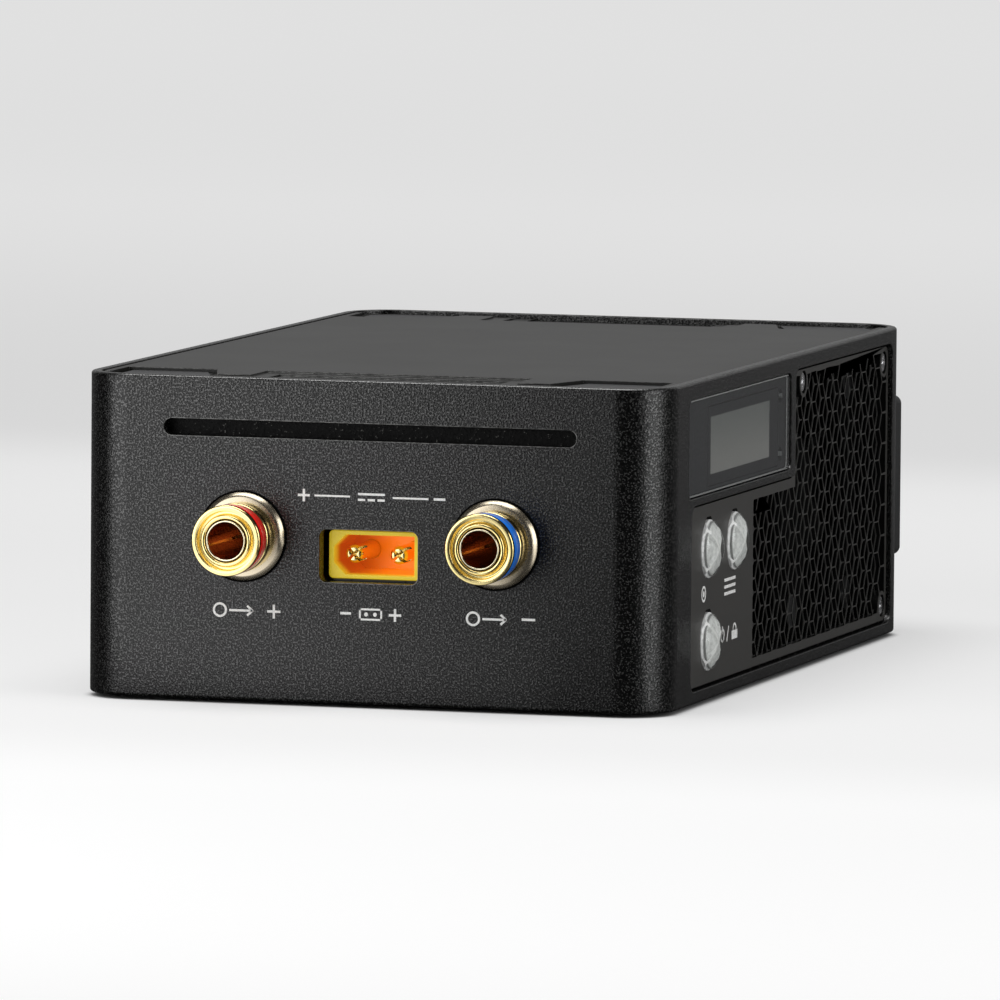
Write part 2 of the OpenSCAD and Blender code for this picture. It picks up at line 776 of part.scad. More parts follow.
// Two hexagon nuts on each stem, in front of and behind the bus bar
module jack_nuts() {
    color([0.8, 0.7, 0.4]) for (x = [-jack_x, jack_x], u = [nut_y, lug_y + lug_t])
        along_y(u, nut_t) translate([x, hz(jack_h)]) difference() {
            circle(nut_flat / sqrt(3), $fn = 6);
            circle(stem_jack_r + fit_gap);
        }
}

// Copper strip on edge: an eye on the socket's stem, then back to the board
module bus_bar(side) {
    color([0.75, 0.45, 0.25]) {
        along_y(lug_y, lug_t) difference() {
            union() {
                translate([side * jack_x, hz(jack_h)]) circle(5);
                translate([side * (jack_x + bar_x) / 2, hz(jack_h)])
                    square([bar_x - jack_x, 7], center = true);
            }
            translate([side * jack_x, hz(jack_h)]) circle(stem_jack_r + fit_gap);
        }
        x0 = min(side * bar_x, side * (bar_x - 1));
        block([x0, x0 + 1], [lug_y, board_y0 + 1], [jack_h - 3.5, jack_h + 3.5]);
        block([x0, x0 + 1], [board_y0 + 1, board_y0 + 9], [board_top, jack_h + 3.5]);
    }
}

module positive_bus_bar() { bus_bar(-1); }
module negative_bus_bar() { bus_bar(1); }

// Yellow shroud: open in front, two corners of its cavity cut off so a plug fits one way
module sense_connector() {
    w = sense_w / 2 - sense_wall;
    t = sense_t / 2 - sense_wall + 0.15;
    color([0.95, 0.75, 0.05]) difference() {
        along_y(sense_front, sense_back - sense_front) translate([0, hz(sense_h)])
            rounded_rect(sense_w, sense_t, 0.5);
        along_y(sense_front - 1, sense_floor - sense_front + 1) translate([0, hz(sense_h)])
            polygon([[-w, -t + sense_corner], [-w + sense_corner, -t], [w, -t], [w, t],
                [-w + sense_corner, t], [-w, t - sense_corner]]);
        for (x = [-1, 1])
            bar_y(x * sense_pitch / 2, sense_h, sense_floor - 1, sense_back + 1, sense_pin_r + fit_gap);
    }
}

// Two gold pins with cross-slit tips; their tails turn down into the board
module sense_pins() {
    tail = sense_back + 1.4;
    color([0.9, 0.75, 0.35]) for (x = [-sense_pitch / 2, sense_pitch / 2]) {
        difference() {
            union() {
                bar_y(x, sense_h, sense_tip + 0.4, tail, sense_pin_r);
                translate([x, fy(sense_tip + 0.4), hz(sense_h)]) rotate([90, 0, 0])
                    cylinder(h = 0.4, r1 = sense_pin_r, r2 = sense_pin_r - 0.3);
            }
            for (a = [45, 135]) translate([x, fy(sense_tip), hz(sense_h)]) rotate([0, a, 0])
                translate([-2, -1, -0.15]) cube([4, 3.5, 0.3]);
        }
        translate([x, fy(tail - 0.7), hz(board_low - 0.8)])
            cylinder(h = sense_h - board_low + 0.8, r = 0.7);
    }
}

// Strip of open-pored filter foam behind the air slot
module slot_screen() {
    color([0.06, 0.06, 0.06]) along_y(wall, 0.8) translate([0, hz(slot_h)])
        square([slot_l + 3, slot_t + 3], center = true);
}

// Board with a tongue under the sense connector and a notch for the fan
module main_board() {
    color([0.05, 0.3, 0.15]) translate([0, 0, hz(board_low)]) linear_extrude(board_t) difference() {
        union() {
            translate([board_x0, fy(board_y0)])
                square([board_x1 - board_x0, board_notch_y - board_y0]);
            translate([board_x0, fy(board_y0)])
                square([board_notch_x - board_x0, board_y1 - board_y0]);
            translate([-7.5, fy(wall + 0.6)]) square([15, board_y0]);
            translate([socket_x - 6, fy(board_y1 - 1)])
                square([12, shell_d - wall - 0.6 - board_y1 + 1]);
        }
        at_standoffs() circle(1.3);
        for (x = [-sense_pitch / 2, sense_pitch / 2])
            translate([x, fy(sense_back + 0.7)]) circle(0.8);
    }
}

module at_standoffs() {
    for (p = [[board_x0 + 3, board_y0 + 12], [board_x1 - 3, board_y0 + 12],
            [board_x0 + 3, sink_y0 - 4], [board_x1 - 3, sink_y0 - 4]])
        translate([p[0], fy(p[1])]) children();
}

// Hexagon standoffs between the bottom cover and the board
module board_standoffs() {
    color([0.75, 0.65, 0.35]) at_standoffs() translate([0, 0, hz(floor_h)]) difference() {
        cylinder(h = board_low - floor_h, r = 2.6, $fn = 6);
        translate([0, 0, board_low - floor_h - 5]) cylinder(h = 6, r = 1);
    }
}

module board_screws() {
    color("silver") at_standoffs() {
        translate([0, 0, hz(board_top)]) cylinder(h = 1.2, r = 2.2);
        translate([0, 0, hz(board_top) - 5]) cylinder(h = 5 + eps, r = 0.95);
    }
}

module at_transistors() {
    first = (sink_y0 + sink_y1 - (transistor_n - 1) * transistor_pitch) / 2;
    for (i = [0:transistor_n - 1]) translate([transistor_x, fy(first + i * transistor_pitch), 0])
        children();
}

// Power transistors lying on the board, tabs up, under the heatsink
module power_transistors() {
    color([0.1, 0.1, 0.1]) at_transistors() translate([0, 0, hz(board_top)]) {
        translate([-7.5, -5, 0]) cube([15, 10, transistor_t - 1.3]);
        translate([-7.5, -5, transistor_t - 1.3 - eps]) cube([15, 10, 1.3 + eps]);
        for (y = [-2.54, 0, 2.54]) translate([7.5 - eps, y - 0.4, 0]) cube([3, 0.8, 0.6]);
    }
}

module thermal_pads() {
    color([0.7, 0.7, 0.75]) at_transistors() translate([-7, -4.5, hz(sink_low - thermal_t)])
        cube([14, 9, thermal_t]);
}

// Base plate with fins that run across towards the fan
module heatsink() {
    count = floor((sink_y1 - sink_y0 - fin_t) / fin_pitch);
    color([0.75, 0.75, 0.77]) {
        block([sink_x0, sink_x1], [sink_y0, sink_y1], [sink_low, sink_low + sink_base]);
        for (i = [0:count])
            block([sink_x0, sink_x1], [sink_y0 + i * fin_pitch, sink_y0 + i * fin_pitch + fin_t],
                [sink_low + sink_base - eps, sink_high]);
    }
}

module heatsink_spacers() {
    color([0.75, 0.75, 0.77])
        for (x = [sink_x0 + 3, sink_x1 - 3], u = [sink_y0 + 3, sink_y1 - 3])
            translate([x, fy(u), hz(board_top)]) cylinder(h = sink_low - board_top, r = 2.2);
}

// Current-sense strip bridging two lands of the board
module shunt_resistor() {
    color([0.6, 0.5, 0.42]) {
        block([9.5, 16.5], [26, 27.2], [board_top, board_top + 3.2]);
        block([9.5, 16.5], [36, 37.2], [board_top, board_top + 3.2]);
        block([9.5, 16.5], [26, 37.2], [board_top + 3.2 - eps, board_top + 4.4]);
    }
}

module capacitors() {
    color([0.2, 0.2, 0.25]) for (p = [[-16, 28], [-6, 28], [-16, 39]])
        translate([p[0], fy(p[1]), hz(board_top)]) {
            cylinder(h = 12, r = 4);
            translate([-4.15, -4.15, 0]) cube([8.3, 8.3, 1]);
        }
}

// Controller, amplifiers and small parts of the board
module control_chips() {
    color([0.1, 0.1, 0.12]) {
        block([1, 8], [22, 29], [board_top, board_top + 1.4]);
        for (u = [33, 40]) block([1, 6], [u, u + 4], [board_top, board_top + 1.2]);
        for (x = [-9, -5]) block([x, x + 2], [40, 43.2], [board_top, board_top + 1]);
    }
}

// Sockets on the board for the ribbon and the fan lead
module board_headers() {
    color([0.9, 0.9, 0.85]) {
        block([board_x1 - 7, board_x1 - 4], [31, 41], [board_top, board_top + 2.4]);
        block([board_notch_x - 3.5, board_notch_x], [sink_y0 - 7, sink_y0 - 2],
            [board_top, board_top + 3.8]);
    }
}

// Flat cable from the main board up to the upright board
module ribbon_cable() {
    t = 0.25;
    r = 2.4;
    x0 = board_x1 - 5.5;
    h0 = board_top + 2.4;
    color([0.85, 0.85, 0.8]) along_y(32, 8) {
        translate([x0 - t, hz(h0)]) square([t, 4]);
        translate([x0 + r - t / 2, hz(h0 + 4)]) intersection() {
            difference() {
                circle(r + t / 2);
                circle(r - t / 2);
            }
            translate([-r - 1, 0]) square([r + 1, r + 1]);
        }
        translate([x0 + r - t / 2, hz(h0 + 4 + r - t / 2)])
            square([ui_x0 - x0 - r + t / 2, t]);
    }
}

// Square fan housing with a round duct, four struts, a motor disc and a bearing bush
module fan_frame() {
    color([0.06, 0.06, 0.06]) {
        along_x(fan_x0, fan_t) difference() {
            translate([fy(fan_y), hz(fan_h)]) rounded_rect(fan_size, fan_size, 2);
            translate([fy(fan_y), hz(fan_h)]) circle(fan_hole);
            at_fan_screws() circle(1.5);
        }
        along_x(fan_x0, fan_disc_t) translate([fy(fan_y), hz(fan_h)]) difference() {
            union() {
                circle(fan_hub_r);
                for (a = [45:90:315]) rotate(a) translate([0, -0.7])
                    square([fan_hole + 0.3, 1.4]);
            }
            circle(fan_shaft_r + fit_gap);
        }
        along_x(fan_x0 + fan_disc_t - eps, 4) translate([fy(fan_y), hz(fan_h)]) difference() {
            circle(fan_bush_r);
            circle(fan_shaft_r + fit_gap);
        }
    }
}

// Hub cup, shaft and pitched blades
module fan_rotor() {
    hub_x0 = fan_disc_t + 0.5;
    hub_x1 = fan_t - 0.4;
    color([0.1, 0.1, 0.1]) translate([fan_x0, fy(fan_y), hz(fan_h)]) rotate([0, 90, 0]) {
        difference() {
            translate([0, 0, hub_x0]) cylinder(h = hub_x1 - hub_x0, r = fan_hub_r);
            translate([0, 0, hub_x0 - 1]) cylinder(h = hub_x1 - hub_x0 - 0.2, r = fan_hub_r - 0.9);
        }
        translate([0, 0, 0.4]) cylinder(h = hub_x1 - 1, r = fan_shaft_r);
        intersection() {
            for (i = [0:fan_blades - 1]) rotate([0, 0, i * 360 / fan_blades])
                translate([0, 0, (hub_x0 + hub_x1) / 2]) rotate([48, 0, 0])
                    translate([fan_hub_r - 0.6, -6, -0.4]) cube([fan_hole, 12, 0.8]);
            difference() {
                translate([0, 0, hub_x0]) cylinder(h = hub_x1 - hub_x0, r = fan_hole - fan_tip_gap);
                translate([0, 0, hub_x0 - 1]) cylinder(h = fan_t, r = fan_hub_r - 0.5);
            }
        }
    }
}

module fan_screws() {
    color("silver") {
        along_x(frame_web_x1, 0.8) at_fan_screws() circle(1.9);
        along_x(frame_web_x1 - 6, 6 + eps) at_fan_screws() circle(1.1);
    }
}

// Sheathed lead from the fan to its header
module fan_lead() {
    r = 0.8;
    h = board_top + 2.6;
    u0 = sink_y0 - 4.5;
    u1 = fan_y - fan_size / 2 - 0.05;
    x = fan_x0 + 4;
    color([0.7, 0.1, 0.1]) {
        bar_across(board_notch_x + 0.02, x, u0, h, r);
        translate([x, fy(u0), hz(h)]) sphere(r);
        bar_y(x, h, u0, u1, r);
    }
}

// Frame on the back: louvres over the vent, and a recess for the power socket
module rear_vent() {
    slat_step = (vent_t + slat_t) / (slat_n + 1);
    low = rear_mid_h - vent_t / 2;
    color([0.07, 0.07, 0.07]) difference() {
        along_y(shell_d, rear_out) difference() {
            translate([0, hz(rear_mid_h)]) rounded_rect(rear_w, rear_t, 1);
            for (i = [0:slat_n]) translate([vent_x0 + 1.4, hz(low + i * slat_step)])
                square([vent_x1 - vent_x0 - 2.4, slat_step - slat_t]);
            translate([socket_x, hz(board_top + socket_t / 2 + fit_gap)])
                rounded_rect(socket_w + 0.4, socket_t + 0.4, 1.5);
            for (x = [-1, 1]) translate([x * vent_screw_x, hz(rear_mid_h)]) circle(0.85);
        }
        along_y(shell_d + 0.8, rear_out)
            translate([socket_x, hz(board_top + socket_t / 2 + fit_gap)])
                rounded_rect(socket_w + 4, socket_t + 3.6, 2);
        for (x = [-1, 1])
            bar_y(x * vent_screw_x, rear_mid_h, shell_d + rear_out - vent_head_t,
                shell_d + rear_out + 1, 1.5);
    }
}

module rear_vent_screws() {
    head_y = shell_d + rear_out - vent_head_t;
    color("silver") for (x = [-1, 1]) {
        bar_y(x * vent_screw_x, rear_mid_h, shell_d - 4.5, head_y + eps, 0.75);
        bar_y(x * vent_screw_x, rear_mid_h, head_y, head_y + 0.6, 1.4);
    }
}

// Flat power socket on the board's rear edge, with its tongue
module power_socket() {
    h = board_top + socket_t / 2 + fit_gap;
    u1 = shell_d + 0.7;
    color([0.7, 0.7, 0.7]) {
        difference() {
            along_y(u1 - socket_l, socket_l) translate([socket_x, hz(h)])
                rounded_rect(socket_w, socket_t, socket_t / 2 - eps);
            along_y(u1 - socket_l + 1, socket_l) translate([socket_x, hz(h)])
                rounded_rect(socket_w - 0.6, socket_t - 0.6, socket_t / 2 - 0.3 - eps);
        }
        block([socket_x - 3.3, socket_x + 3.3], [u1 - socket_l + 0.5, u1 - 1], [h - 0.35, h + 0.35]);
    }
}

shell_band();
top_cover();
bottom_cover();
top_cover_screws();
bottom_cover_screws();
stacking_pads();
feet();
side_grille();
side_grille_screws();
side_frame();
display_glass();
display_gasket();
display_panel();
indicator_lights();
ui_board();
tact_switches();
button_set();
button_menu();
button_power();
positive_jack_sleeve();
positive_jack_ring();
positive_jack_contact();
negative_jack_sleeve();
negative_jack_ring();
negative_jack_contact();
jack_washers();
jack_insulators();
jack_nuts();
positive_bus_bar();
negative_bus_bar();
sense_connector();
sense_pins();
slot_screen();
main_board();
board_standoffs();
board_screws();
power_transistors();
thermal_pads();
heatsink();
heatsink_spacers();
shunt_resistor();
capacitors();
control_chips();
board_headers();
ribbon_cable();
fan_frame();
fan_rotor();
fan_screws();
fan_lead();
rear_vent();
rear_vent_screws();
power_socket();
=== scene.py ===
import json
import math

import bpy
from mathutils import Matrix, Vector


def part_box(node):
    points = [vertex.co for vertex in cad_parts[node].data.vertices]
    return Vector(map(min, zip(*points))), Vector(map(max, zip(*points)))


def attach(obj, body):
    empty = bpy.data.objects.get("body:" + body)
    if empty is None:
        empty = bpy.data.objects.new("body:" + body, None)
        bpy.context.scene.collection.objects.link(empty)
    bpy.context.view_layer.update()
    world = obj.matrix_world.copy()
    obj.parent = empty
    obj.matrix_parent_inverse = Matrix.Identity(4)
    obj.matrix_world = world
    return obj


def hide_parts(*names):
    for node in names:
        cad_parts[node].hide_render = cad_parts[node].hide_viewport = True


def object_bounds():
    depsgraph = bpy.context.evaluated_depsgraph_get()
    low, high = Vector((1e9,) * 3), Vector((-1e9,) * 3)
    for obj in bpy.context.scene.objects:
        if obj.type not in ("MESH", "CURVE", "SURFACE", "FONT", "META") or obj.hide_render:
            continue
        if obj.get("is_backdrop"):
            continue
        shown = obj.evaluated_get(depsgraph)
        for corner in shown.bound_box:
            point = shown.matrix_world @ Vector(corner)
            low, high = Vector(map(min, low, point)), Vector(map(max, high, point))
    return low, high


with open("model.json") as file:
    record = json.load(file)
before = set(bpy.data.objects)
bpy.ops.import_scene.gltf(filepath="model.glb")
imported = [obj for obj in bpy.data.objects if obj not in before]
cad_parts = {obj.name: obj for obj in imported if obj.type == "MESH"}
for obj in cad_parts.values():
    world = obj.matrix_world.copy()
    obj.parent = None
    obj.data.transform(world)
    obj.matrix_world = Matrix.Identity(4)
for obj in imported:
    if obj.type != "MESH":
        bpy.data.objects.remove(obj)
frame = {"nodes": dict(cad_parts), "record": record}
cad_low, cad_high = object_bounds()
MM = 0.001


# Camera: a long lens 1.4 m in front of the box, a little to its right and above it. It looks
# down by five degrees and leans by half a degree.
camera_data = bpy.data.cameras.new("long_lens")
camera_data.sensor_width = 36
camera_data.lens = 453.39
camera_data.clip_start = 0.05
camera_data.clip_end = 60
camera = bpy.data.objects.new("long_lens", camera_data)
bpy.context.collection.objects.link(camera)
camera.matrix_world = (
    Matrix.Translation((0.3903562, -1.3426659, 0.1404464))
    @ Matrix.Rotation(math.radians(16.2086), 4, "Z")
    @ Matrix.Rotation(math.radians(90 - 4.9856), 4, "X")
    @ Matrix.Rotation(math.radians(0.4679), 4, "Z"))
bpy.context.scene.camera = camera
bpy.context.scene.view_settings.view_transform = "Standard"


# Table top: one pale sheet that runs back under the backdrop. It is white in front and light
# grey behind, and half of what it shows is its own paleness, so that a soft shadow stays on it.
# Its paleness stops under the box, a painted shadow along the box's foot. Gloss mirrors it
# darker, with a painted light patch at the front left and a painted wedge at the front right:
# painted reflections on the box's front and right corner.
class Socket:
    """One output in a node tree; arithmetic on it adds Math nodes."""

    def __init__(self, tree, output=None):
        self.tree, self.output = tree, output

    def node(self, kind, settings=None, inputs=None, output=0):
        made = self.tree.nodes.new("ShaderNode" + kind)
        for name, value in (settings or {}).items():
            if name == "stops":
                elements = made.color_ramp.elements
                elements.remove(elements[1])
                for i, (place, colour) in enumerate(value):
                    stop = elements[0] if i == 0 else elements.new(place)
                    stop.position, stop.color = place, (*colour, 1)
            else:
                setattr(made, name, value)
        for key, value in (inputs or {}).items():
            if isinstance(value, Socket):
                self.tree.links.new(value.output, made.inputs[key])
            else:
                made.inputs[key].default_value = value
        return Socket(self.tree, made.outputs[output] if made.outputs else None)

    def math(self, operation, *values):
        return self.node("Math", {"operation": operation}, dict(enumerate((self, *values))))

    def axis(self, name):
        return self.node("SeparateXYZ", inputs={"Vector": self}, output=name)

    def __add__(self, other):
        return self.math("ADD", other)

    def __sub__(self, other):
        return self.math("SUBTRACT", other)

    def __rsub__(self, other):
        return self.node("Math", {"operation": "SUBTRACT"}, {0: other, 1: self})

    def __mul__(self, other):
        return self.math("MULTIPLY", other)

    def __abs__(self):
        return self.math("ABSOLUTE")

    __radd__ = __add__
    __rmul__ = __mul__

    def ramp(self, low, high, start=0.0, end=1.0):
        """Goes smoothly from start to end while this value goes from low to high."""
        return self.node("MapRange", {"interpolation_type": "SMOOTHSTEP"}, {
            "Value": self, "From Min": low, "From Max": high, "To Min": start, "To Max": end})

    def inside(self, low, high, edge):
        """1 where this value lies between low and high, with a soft edge."""
        return self.ramp(low - edge, low) * self.ramp(high, high + edge, 1, 0)


def deselect():
    if bpy.context.mode != "OBJECT":
        bpy.ops.object.mode_set(mode="OBJECT")
    bpy.ops.object.select_all(action="DESELECT")


def rays(tree):
    """1 for what the camera sees, also through glass; 1 for what gloss mirrors; 1 for the rest."""
    ray = tree.node("LightPath").output.node.outputs
    straight, through, glossy = (Socket(tree.tree, ray[name]) for name in (
        "Is Camera Ray", "Is Transmission Ray", "Is Glossy Ray"))
    seen = straight.math("MAXIMUM", through)
    mirrored = glossy * (1 - seen)
    return seen, mirrored, (1 - seen) * (1 - glossy)


def beyond(place, low, high, corner):
    """How far a point lies outside an upright box with rounded corners; less than 0 inside it."""
    sides = [(abs(place.axis(name) - (a + b) / 2) - ((b - a) / 2 - corner)).math("MAXIMUM", 0)
             for name, a, b in (("X", low.x, high.x), ("Y", low.y, high.y))]
    return (sides[0] * sides[0] + sides[1] * sides[1]).math("SQRT") - corner


SHELL_CORNER = 5.75 * MM
shell_low, shell_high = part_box("shell_band")
deselect()
bpy.ops.mesh.primitive_circle_add(vertices=128, radius=7, fill_type="NGON")
table = bpy.context.object
table.name = "table_top"
table_finish = bpy.data.materials.new("pale_table")
table_finish.use_nodes = True
table_finish.node_tree.nodes.clear()
tree = Socket(table_finish.node_tree)
place = tree.node("TexCoord", output="Object")
depth, aside = place.axis("Y"), place.axis("X")
paleness = (0.95 + depth.ramp(-0.29, -0.13, 0.16, 0) + depth.ramp(-0.13, -0.075, 0.14, 0)
    + depth.ramp(0.1, 0.21, 0, 0.09) + depth.ramp(0.225, 0.3, 0, -0.165)
    + depth.ramp(0.17, 0.8, 0, 0.44) + depth.ramp(0.8, 1.4, 0, 0.05))
# Painted shadow: the floor's own paleness fades to black under the outline of the box.
clear_of_painted_shadow = beyond(place, shell_low, shell_high, SHELL_CORNER).ramp(-0.8 * MM, 0.9 * MM)
# Metres in front of the box, and to the right of its right front corner.
ahead, past = -1 * depth - 0.047, aside - 0.0305
# Painted reflection: a wedge at the front right and a patch at the front left that only gloss sees,
# which give the box's front and right corner their light bands.
painted_wedge = (past - 1.3 * ahead).ramp(-0.006, 0.012) * (ahead - 0.01 * past).ramp(0, 0.008)
to_left = (0.577 * aside - depth - 0.026).ramp(0, 0.03)
across = aside - 0.026 + 0.29 * ahead
mirrored_painted_glow = (0.06 + 1.7 * painted_wedge + depth.ramp(0.0, 0.3, 0, 0.05)
    + (1.0 + 0.8 * depth.ramp(-0.22, -0.08)) * across.ramp(-0.06, 0.0, 1.2, 0.45)
    * across.ramp(-0.009, -0.001, 1, 0) * ahead.ramp(0, 0.03) * to_left)
seen, mirrored, rest = rays(tree)
tree.node("OutputMaterial", inputs={"Surface": tree.node("MixShader", inputs={
    0: 0.5 + 0.5 * mirrored,
    1: tree.node("BsdfDiffuse", inputs={"Color": (0.8, 0.8, 0.8, 1)}),
    2: tree.node("Emission", inputs={"Color": (1, 1, 1, 1),
        "Strength": paleness * clear_of_painted_shadow * seen + mirrored_painted_glow * clear_of_painted_shadow * mirrored})})})
table.data.materials.append(table_finish)
table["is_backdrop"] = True


# Studio: a dim room with a pale wall behind, which the camera sees as an even light grey. It
# gives the black parts little to mirror, and the top cover its soft sheen.
world = bpy.data.worlds.new("studio")
bpy.context.scene.world = world
world.use_nodes = True
world.node_tree.nodes.clear()
tree = Socket(world.node_tree)
way = tree.node("TexCoord", output="Generated")
behind = tree.node("SeparateXYZ", inputs={"Vector": way}, output="Y")
wall = behind.ramp(0.35, 0.95)
seen, mirrored, rest = rays(tree)
level = seen * 0.76 + mirrored * (0.03 + 0.26 * wall) + rest * 0.15
tree.node("OutputWorld", inputs={"Surface": tree.node(
    "Background", inputs={"Color": (1, 1, 1, 1), "Strength": level})})


# Lamps: three soft boxes, at the front left, at the right and overhead. Each is given by its
# middle, the point that it faces, its size and its radiance.
def soft_box(name, place, aim, width, height, radiance):
    data = bpy.data.lights.new(name, "AREA")
    data.shape = "RECTANGLE"
    data.size, data.size_y = width, height
    data.energy = radiance * math.pi * width * height
    lamp = bpy.data.objects.new(name, data)
    bpy.context.collection.objects.link(lamp)
    lamp.matrix_world = (Matrix.Translation(place)
        @ (Vector(aim) - Vector(place)).to_track_quat("-Z", "Y").to_matrix().to_4x4())


soft_box("box_front_left", (-0.177, -0.2475, 0.125), (-0.0655, -0.0015, 0.1), 0.254, 0.25, 2.2)
soft_box("box_right", (0.473, -0.139, 0.14), (0.033, -0.045, 0.02), 0.35, 0.27, 3.2)
soft_box("box_top", (-0.03, -0.06, 0.55), (0.0, 0.0, 0.03), 0.45, 0.36, 4.5)


# Shell band: one extruded and milled aluminium ring, blasted and powder coated black. The edges of
# its openings are broken after coating and shine a little.
def stands_for(piece, *nodes):
    """The piece stands in for these solids of the frame, which are hidden, and rides on their body.
    """
    record = frame["record"]
    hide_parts(*nodes)
    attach(piece, next(
        body for body, members in record["behaviour"]["bodies"].items() if nodes[0] in members))
    return piece


def merged(name, *nodes, edge=0.0, angle=32, segments=2, shape=None):
    """A copy of frame solids with their triangles joined, edges broken and round parts smooth.

    The broken edges take the piece's second finish where it has one. A shape moves single points.
    """
    deselect()
    made = bpy.data.objects.new(name, frame["nodes"][nodes[0]].data.copy())
    bpy.context.collection.objects.link(made)
    for other in nodes[1:]:
        extra = bpy.data.objects.new(other + "_copy", frame["nodes"][other].data.copy())
        bpy.context.collection.objects.link(extra)
        extra.select_set(True)
    made.select_set(True)
    bpy.context.view_layer.objects.active = made
    if len(nodes) > 1:
        bpy.ops.object.join()
    if made.data.has_custom_normals:
        bpy.ops.mesh.customdata_custom_splitnormals_clear()
    made.data.materials.clear()
    for part in ("faces", "edges")[:2 if edge else 1]:
        made.data.materials.append(None)
    bpy.ops.object.mode_set(mode="EDIT")
    bpy.ops.mesh.select_all(action="SELECT")
    bpy.ops.mesh.remove_doubles(threshold=0.000002)
    bpy.ops.mesh.dissolve_limited(angle_limit=math.radians(0.3))
    bpy.ops.object.mode_set(mode="OBJECT")
    for vertex in made.data.vertices if shape else ():
        shape(vertex.co)
    if edge:
        bevel = made.modifiers.new("broken_edges", "BEVEL")
        bevel.limit_method = "ANGLE"
        bevel.angle_limit = math.radians(angle)
        bevel.width = edge
        bevel.segments = segments
        bevel.use_clamp_overlap = False
        bevel.material = 1
        bpy.ops.object.modifier_apply(modifier=bevel.name)
    bpy.ops.object.shade_smooth_by_angle(angle=math.radians(angle))
    flat = made.modifiers.new("flat_faces", "WEIGHTED_NORMAL")
    flat.keep_sharp = True
    flat.weight = 100
    bpy.ops.object.modifier_apply(modifier=flat.name)
    return stands_for(made, *nodes)


class Finish:
    """A material with one shader; its patterns read the point on the piece, in metres."""

    def __init__(self, name, colour, roughness, **plain):
        self.material = bpy.data.materials.new(name)
        self.material.use_nodes = True
        tree = self.material.node_tree
        tree.nodes.clear()
        self.tree = Socket(tree)
        self.shader = tree.nodes.new("ShaderNodeBsdfPrincipled")
        self.end = tree.nodes.new("ShaderNodeOutputMaterial")
        tree.links.new(self.shader.outputs[0], self.end.inputs["Surface"])
        self.place = self.tree.node("TexCoord", output="Object")
        self.set("Base Color", (*colour, 1))
        self.set("Roughness", roughness)
        for socket, value in plain.items():
            self.set(socket.replace("_", " "), value)

    def set(self, socket, value):
        target = self.shader.inputs[socket]
        if isinstance(value, Socket):
            self.tree.tree.links.new(value.output, target)
        else:
            target.default_value = value

    def axis(self, name):
        return self.place.axis(name)

    def grain(self, size, detail=2.0, stretch=(1, 1, 1)):
        """Even noise round 0.5 with grains of about this size in metres."""
        place = self.tree.node("Mapping", inputs={"Vector": self.place, "Scale": stretch})
        return self.tree.node("TexNoise", inputs={
            "Vector": place, "Scale": 0.5 / size, "Detail": detail, "Roughness": 0.6})

    def mix(self, share, first, second):
        """The colour that goes from first to second with share."""
        first, second = ((*c, 1) if isinstance(c, tuple) else c for c in (first, second))
        return self.tree.node(
            "Mix", {"data_type": "RGBA"}, {0: share, 6: first, 7: second}, output=2)

    def bump(self, height, depth):
        self.set("Normal", self.tree.node("Bump", inputs={"Height": height, "Distance": depth}))

    def grained(self, size, detail, smooth, spread, depth, stretch=(1, 1, 1)):
        """Lets one grain vary the roughness and the relief, and gives that grain back."""
        grain = self.grain(size, detail, stretch)
        self.set("Roughness", smooth + spread * grain)
        self.bump(grain, depth)
        return grain

    def on(self, *pieces):
        """Covers the pieces with this finish, also their broken edges."""
        for piece in pieces:
            if not piece.data.materials:
                piece.data.materials.append(None)
            for i in range(len(piece.data.materials)):
                piece.data.materials[i] = self.material

    def on_edges(self, *pieces):
        """Covers only the broken edges of the pieces with this finish."""
        for piece in pieces:
            piece.data.materials[1] = self.material


shell = merged("shell_band_coated", "shell_band", edge=0.10 * MM)
coat = Finish("black_powder_coat", (0.004, 0.004, 0.004), 0.15,
    IOR=1.37, Coat_Roughness=0.2, Coat_IOR=1.8)
pits = coat.grain(0.1 * MM, 1.5)
waves = coat.grain(1.6 * MM, 2.0)
# Worn dark metal along the top outer edge of the rim, which also stands in for the rim's thin
# highlight line: a painted highlight.
worn_rim_painted_highlight = (beyond(coat.place, shell_low, shell_high, SHELL_CORNER).ramp(-0.2 * MM, -0.12 * MM)
    * coat.axis("Z").ramp(shell_high.z - 0.16 * MM, shell_high.z - 0.1 * MM))
coat.set("Base Color", coat.mix(worn_rim_painted_highlight, coat.mix(
    pits.ramp(0.5, 0.66), (0.0015, 0.0015, 0.0015), (0.03, 0.03, 0.029)), (0.12, 0.12, 0.118)))
coat.set("Metallic", worn_rim_painted_highlight)
coat.set("Roughness", 0.13 + 0.08 * pits + 0.04 * waves)
coat.set("Coat Weight", 0.5 * pits.ramp(0.48, 0.64))
coat.bump(pits + 0.1 * waves, 0.06 * MM)
coat.on(shell)
rubbed = Finish("rubbed_coat_edge", (0.10, 0.10, 0.098), 0.3, Metallic=1.0)
rub = rubbed.grain(0.3 * MM, 3.0)
rubbed.set("Base Color", rubbed.mix(
    rub.ramp(0.35, 0.65), (0.05, 0.05, 0.049), (0.14, 0.14, 0.137)))
rubbed.set("Roughness", 0.24 + 0.14 * rub)
rubbed.on_edges(shell)


